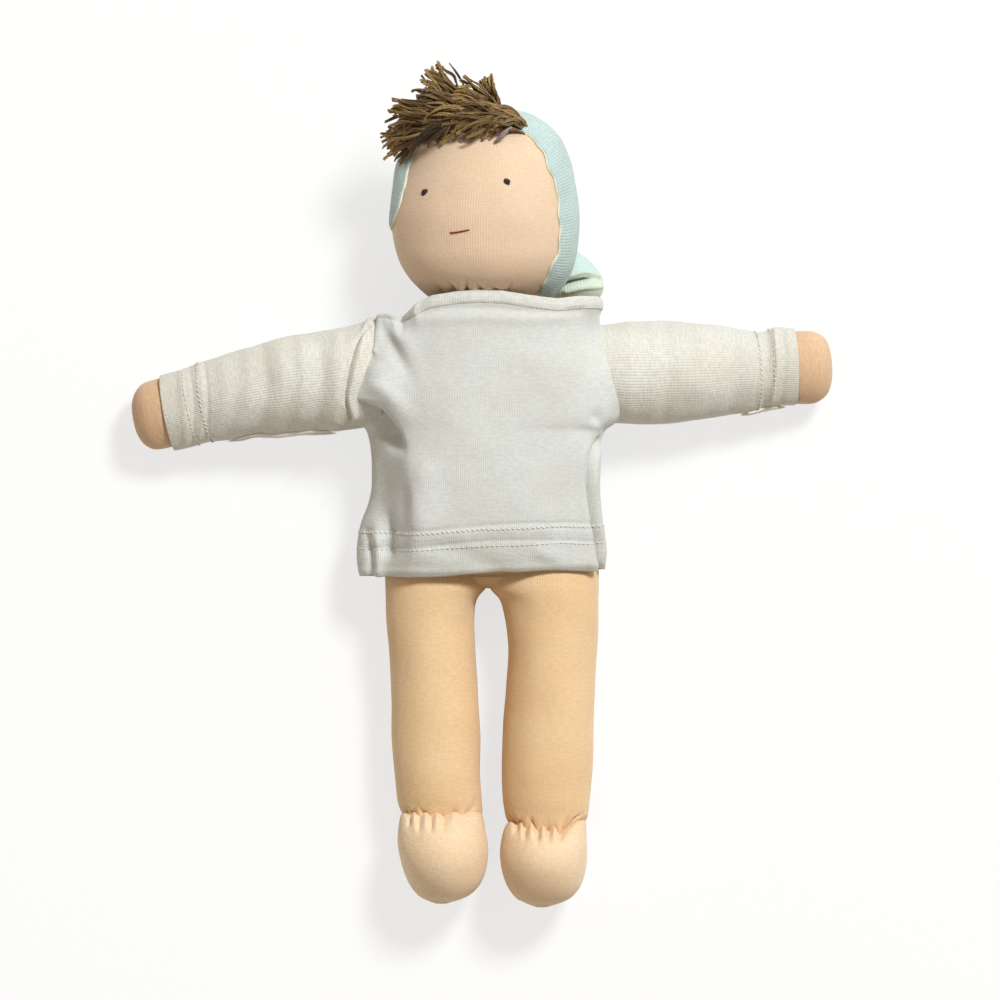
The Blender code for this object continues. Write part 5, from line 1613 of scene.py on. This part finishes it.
def stitch_row(grid, distance, pitch, cover=0.7, lean=0.0, lift=0.05):
    """Stitches round a tube at a distance from its edge, a pitch apart, each covering a share of it.

    Lean slants them, and it is in millimetres as the distance, the pitch and the lift are.
    """
    row = row_at(grid, distance)
    leaning = row_at(grid, distance + lean) - row
    steps = np.arange(0.0, grid.shape[1] + 0.5, 0.5)
    points, _ = sample(grid, np.full(len(steps), row), steps)
    run = running(steps_along(points))
    count = int(run[-1] / (pitch * MM))
    begin = (np.arange(count) + 0.15) * run[-1] / count
    leave = begin + cover * run[-1] / count
    first, out_first = sample(grid, np.full(count, row - leaning), np.interp(begin, run, steps), lift * MM)
    last, out_last = sample(grid, np.full(count, row + leaning), np.interp(leave, run, steps), lift * MM)
    return list(np.stack((first, last), axis=1)), list(np.stack((out_first, out_last), axis=1))


def beyond(row, across):
    """The stitches of a row that start to the right of a place across the photograph."""
    lines, outs = row
    clear = [number for number, line in enumerate(lines) if line[0][0] > over(across, 0.0).x]
    return [lines[number] for number in clear], [outs[number] for number in clear]


def sew(name, rows, thickness, bow, body):
    """Sew rows of stitches as one piece that rides on a body."""
    lines = [line for row in rows for line in row[0]]
    outs = [out for row in rows for out in row[1]]
    piece = grow(name, lines_of(lines, outs), STITCHES, {
        "Thickness": thickness * MM, "Bow": bow * MM, "Finish": SHIRT_THREAD})
    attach(piece, body)


# %% Hem, cuffs and neck band
NECK_SEAM_FROM = 414.0
SHIRT_THREAD = thread_finish("shirt thread", (0.76, 0.76, 0.70), (0.52, 0.50, 0.42))
hem_rows = [stitch_row(shirt_grid, 10.4, 1.8, 0.62), stitch_row(shirt_grid, 16.6, 1.8, 0.8, 0.35)]
sew("hem_stitches", hem_rows, 0.38, 0.20, "trunk")
neck_row = beyond(stitch_row(shirt_grid, -1.6, 1.5, 0.6), NECK_SEAM_FROM)
sew("neck_stitches", [neck_row], 0.34, 0.2, "trunk")
for side, grid in sleeve_grids.items():
    cuff_rows = [stitch_row(grid, -9.0, 1.8, 0.62), stitch_row(grid, -14.2, 1.8, 0.8, 0.35)]
    sew(f"cuff_stitches_{side}", cuff_rows, 0.40, 0.20, f"{side}_arm")

# %% Seam edges under the sleeves
# The cut edges get a jersey paler than the sleeve's: painted light on ridges that lie in the sleeve's
# shadow.
SEAM_EDGE_PAINTED_LIGHT = jersey("cut seam edge painted light", (0.93, 0.92, 0.88), (0.74, 0.69, 0.60), (0.96, 0.97, 0.96), groove_shade=0.2)
FLAPS = {"right": ((0.015, 0.035), 21.0, 62.0), "left": ((0.485, 0.465), 58.0, 75.0)}
FLAP_POINTS = 40
for side, (shares, first, last) in FLAPS.items():
    grid = sleeve_grids[side]
    lines, outs = [], []
    for number, share in enumerate(shares):
        begin, leave = row_at(grid, first + 2.0 * number), row_at(grid, last - 3.0 * number)
        rows = np.linspace(begin, leave, FLAP_POINTS)
        steps = np.full(FLAP_POINTS, share * grid.shape[1])
        line, out = sample(grid, rows, steps, (0.6 - 0.2 * number) * MM)
        lines.append(line)
        outs.append(out)
    flap = grow(f"sleeve_seam_{side}", lines_of(lines, outs), ROLL, {
        "Thickness": 1.6 * MM, "Taper": 0.4, "Finish": SEAM_EDGE_PAINTED_LIGHT})
    weave_by_place(flap)
    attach(flap, f"{side}_arm")

# %% [markdown]
# ## Gathering threads
#
# A strong thread runs round each ankle in the valley of the gather. The puffs nearly close over it.

# %% Ankle threads
ANKLE_THREAD = thread_finish("gathering thread", (0.62, 0.46, 0.30), (0.40, 0.26, 0.14))
for side, grid in leg_grids.items():
    row = row_at(grid, -9.0)
    steps = np.arange(0.0, grid.shape[1], 5.0)
    ring, out = sample(grid, np.full(len(steps), row), steps, -0.9 * MM)
    thread = grow(f"ankle_thread_{side}", lines_of([ring], [out], ring=True), ROLL, {
        "Thickness": 0.6 * MM, "Taper": 0.0, "Finish": ANKLE_THREAD})
    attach(thread, f"{side}_leg")
    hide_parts(f"{side}_ankle_thread")

# %% [markdown]
# ## Light and table
#
# The light is a large soft lamp beyond the doll's head and to its left, with a weak one to fill. In the
# picture the lower and left-hand sides of each form are in shade, so the light comes from the upper
# right. The table is a plain pale plane, shown a little brighter than it is, so that it comes out
# nearly white and still takes a shadow.

# %% Lamps
def soft_lamp(name, place, aim, size, power, colour):
    """A square lamp that faces a point."""
    data = bpy.data.lights.new(name, "AREA")
    data.size = size
    data.energy = power
    data.color = colour
    lamp = bpy.data.objects.new(name, data)
    lamp.location = place
    lamp.rotation_euler = (Vector(aim) - Vector(place)).to_track_quat("-Z", "Y").to_euler()
    bpy.context.scene.collection.objects.link(lamp)
    print(name, "gives", power, "W")


soft_lamp("key lamp", (1.10, 1.56, 2.44), (0.0, -0.02, 0.02), 0.65, 100.0, (0.94, 0.98, 1.0))
soft_lamp("fill lamp", (-0.5, -0.7, 0.9), (0.0, 0.0, 0.02), 0.9, 0.8, (1.0, 0.90, 0.78))
world = bpy.data.worlds.new("studio")
bpy.context.scene.world = world
world.use_nodes = True
sky = world.node_tree.nodes["Background"]
sky.inputs["Color"].default_value = (1.0, 0.87, 0.71, 1.0)
sky.inputs["Strength"].default_value = 0.37


# %% Table
def table_finish():
    """Pale paper, shown nearly white to the camera, with the shadows kept."""
    finish, tree, paper = start_finish("pale paper")
    paper.inputs["Base Color"].default_value = (0.86, 0.86, 0.86, 1.0)
    paper.inputs["Roughness"].default_value = 0.95
    glow = add_node(tree, "ShaderNodeEmission")
    glow.inputs["Strength"].default_value = 1.0
    path = add_node(tree, "ShaderNodeLightPath")
    seen = calc(tree, "MAXIMUM", path.outputs["Is Camera Ray"], path.outputs["Is Glossy Ray"])
    seen = calc(tree, "MAXIMUM", seen, path.outputs["Is Transmission Ray"])
    mix = add_node(tree, "ShaderNodeMixShader")
    tree.links.new(calc(tree, "MULTIPLY", seen, 0.72), mix.inputs["Fac"])
    tree.links.new(paper.outputs[0], mix.inputs[1])
    tree.links.new(glow.outputs[0], mix.inputs[2])
    tree.links.new(mix.outputs[0], tree.nodes["Material Output"].inputs["Surface"])
    return finish


bpy.ops.mesh.primitive_grid_add(x_subdivisions=4, y_subdivisions=4, size=6.0)
table = bpy.context.object
table.name = "table"
table.data.materials.append(table_finish())
print("table finish:", table.data.materials[0].name)

# %% [markdown]
# ## Finish
#
# The colours are to come out as written, so the view transform stays plain.

# %% View transform
bpy.context.scene.view_settings.view_transform = "Standard"
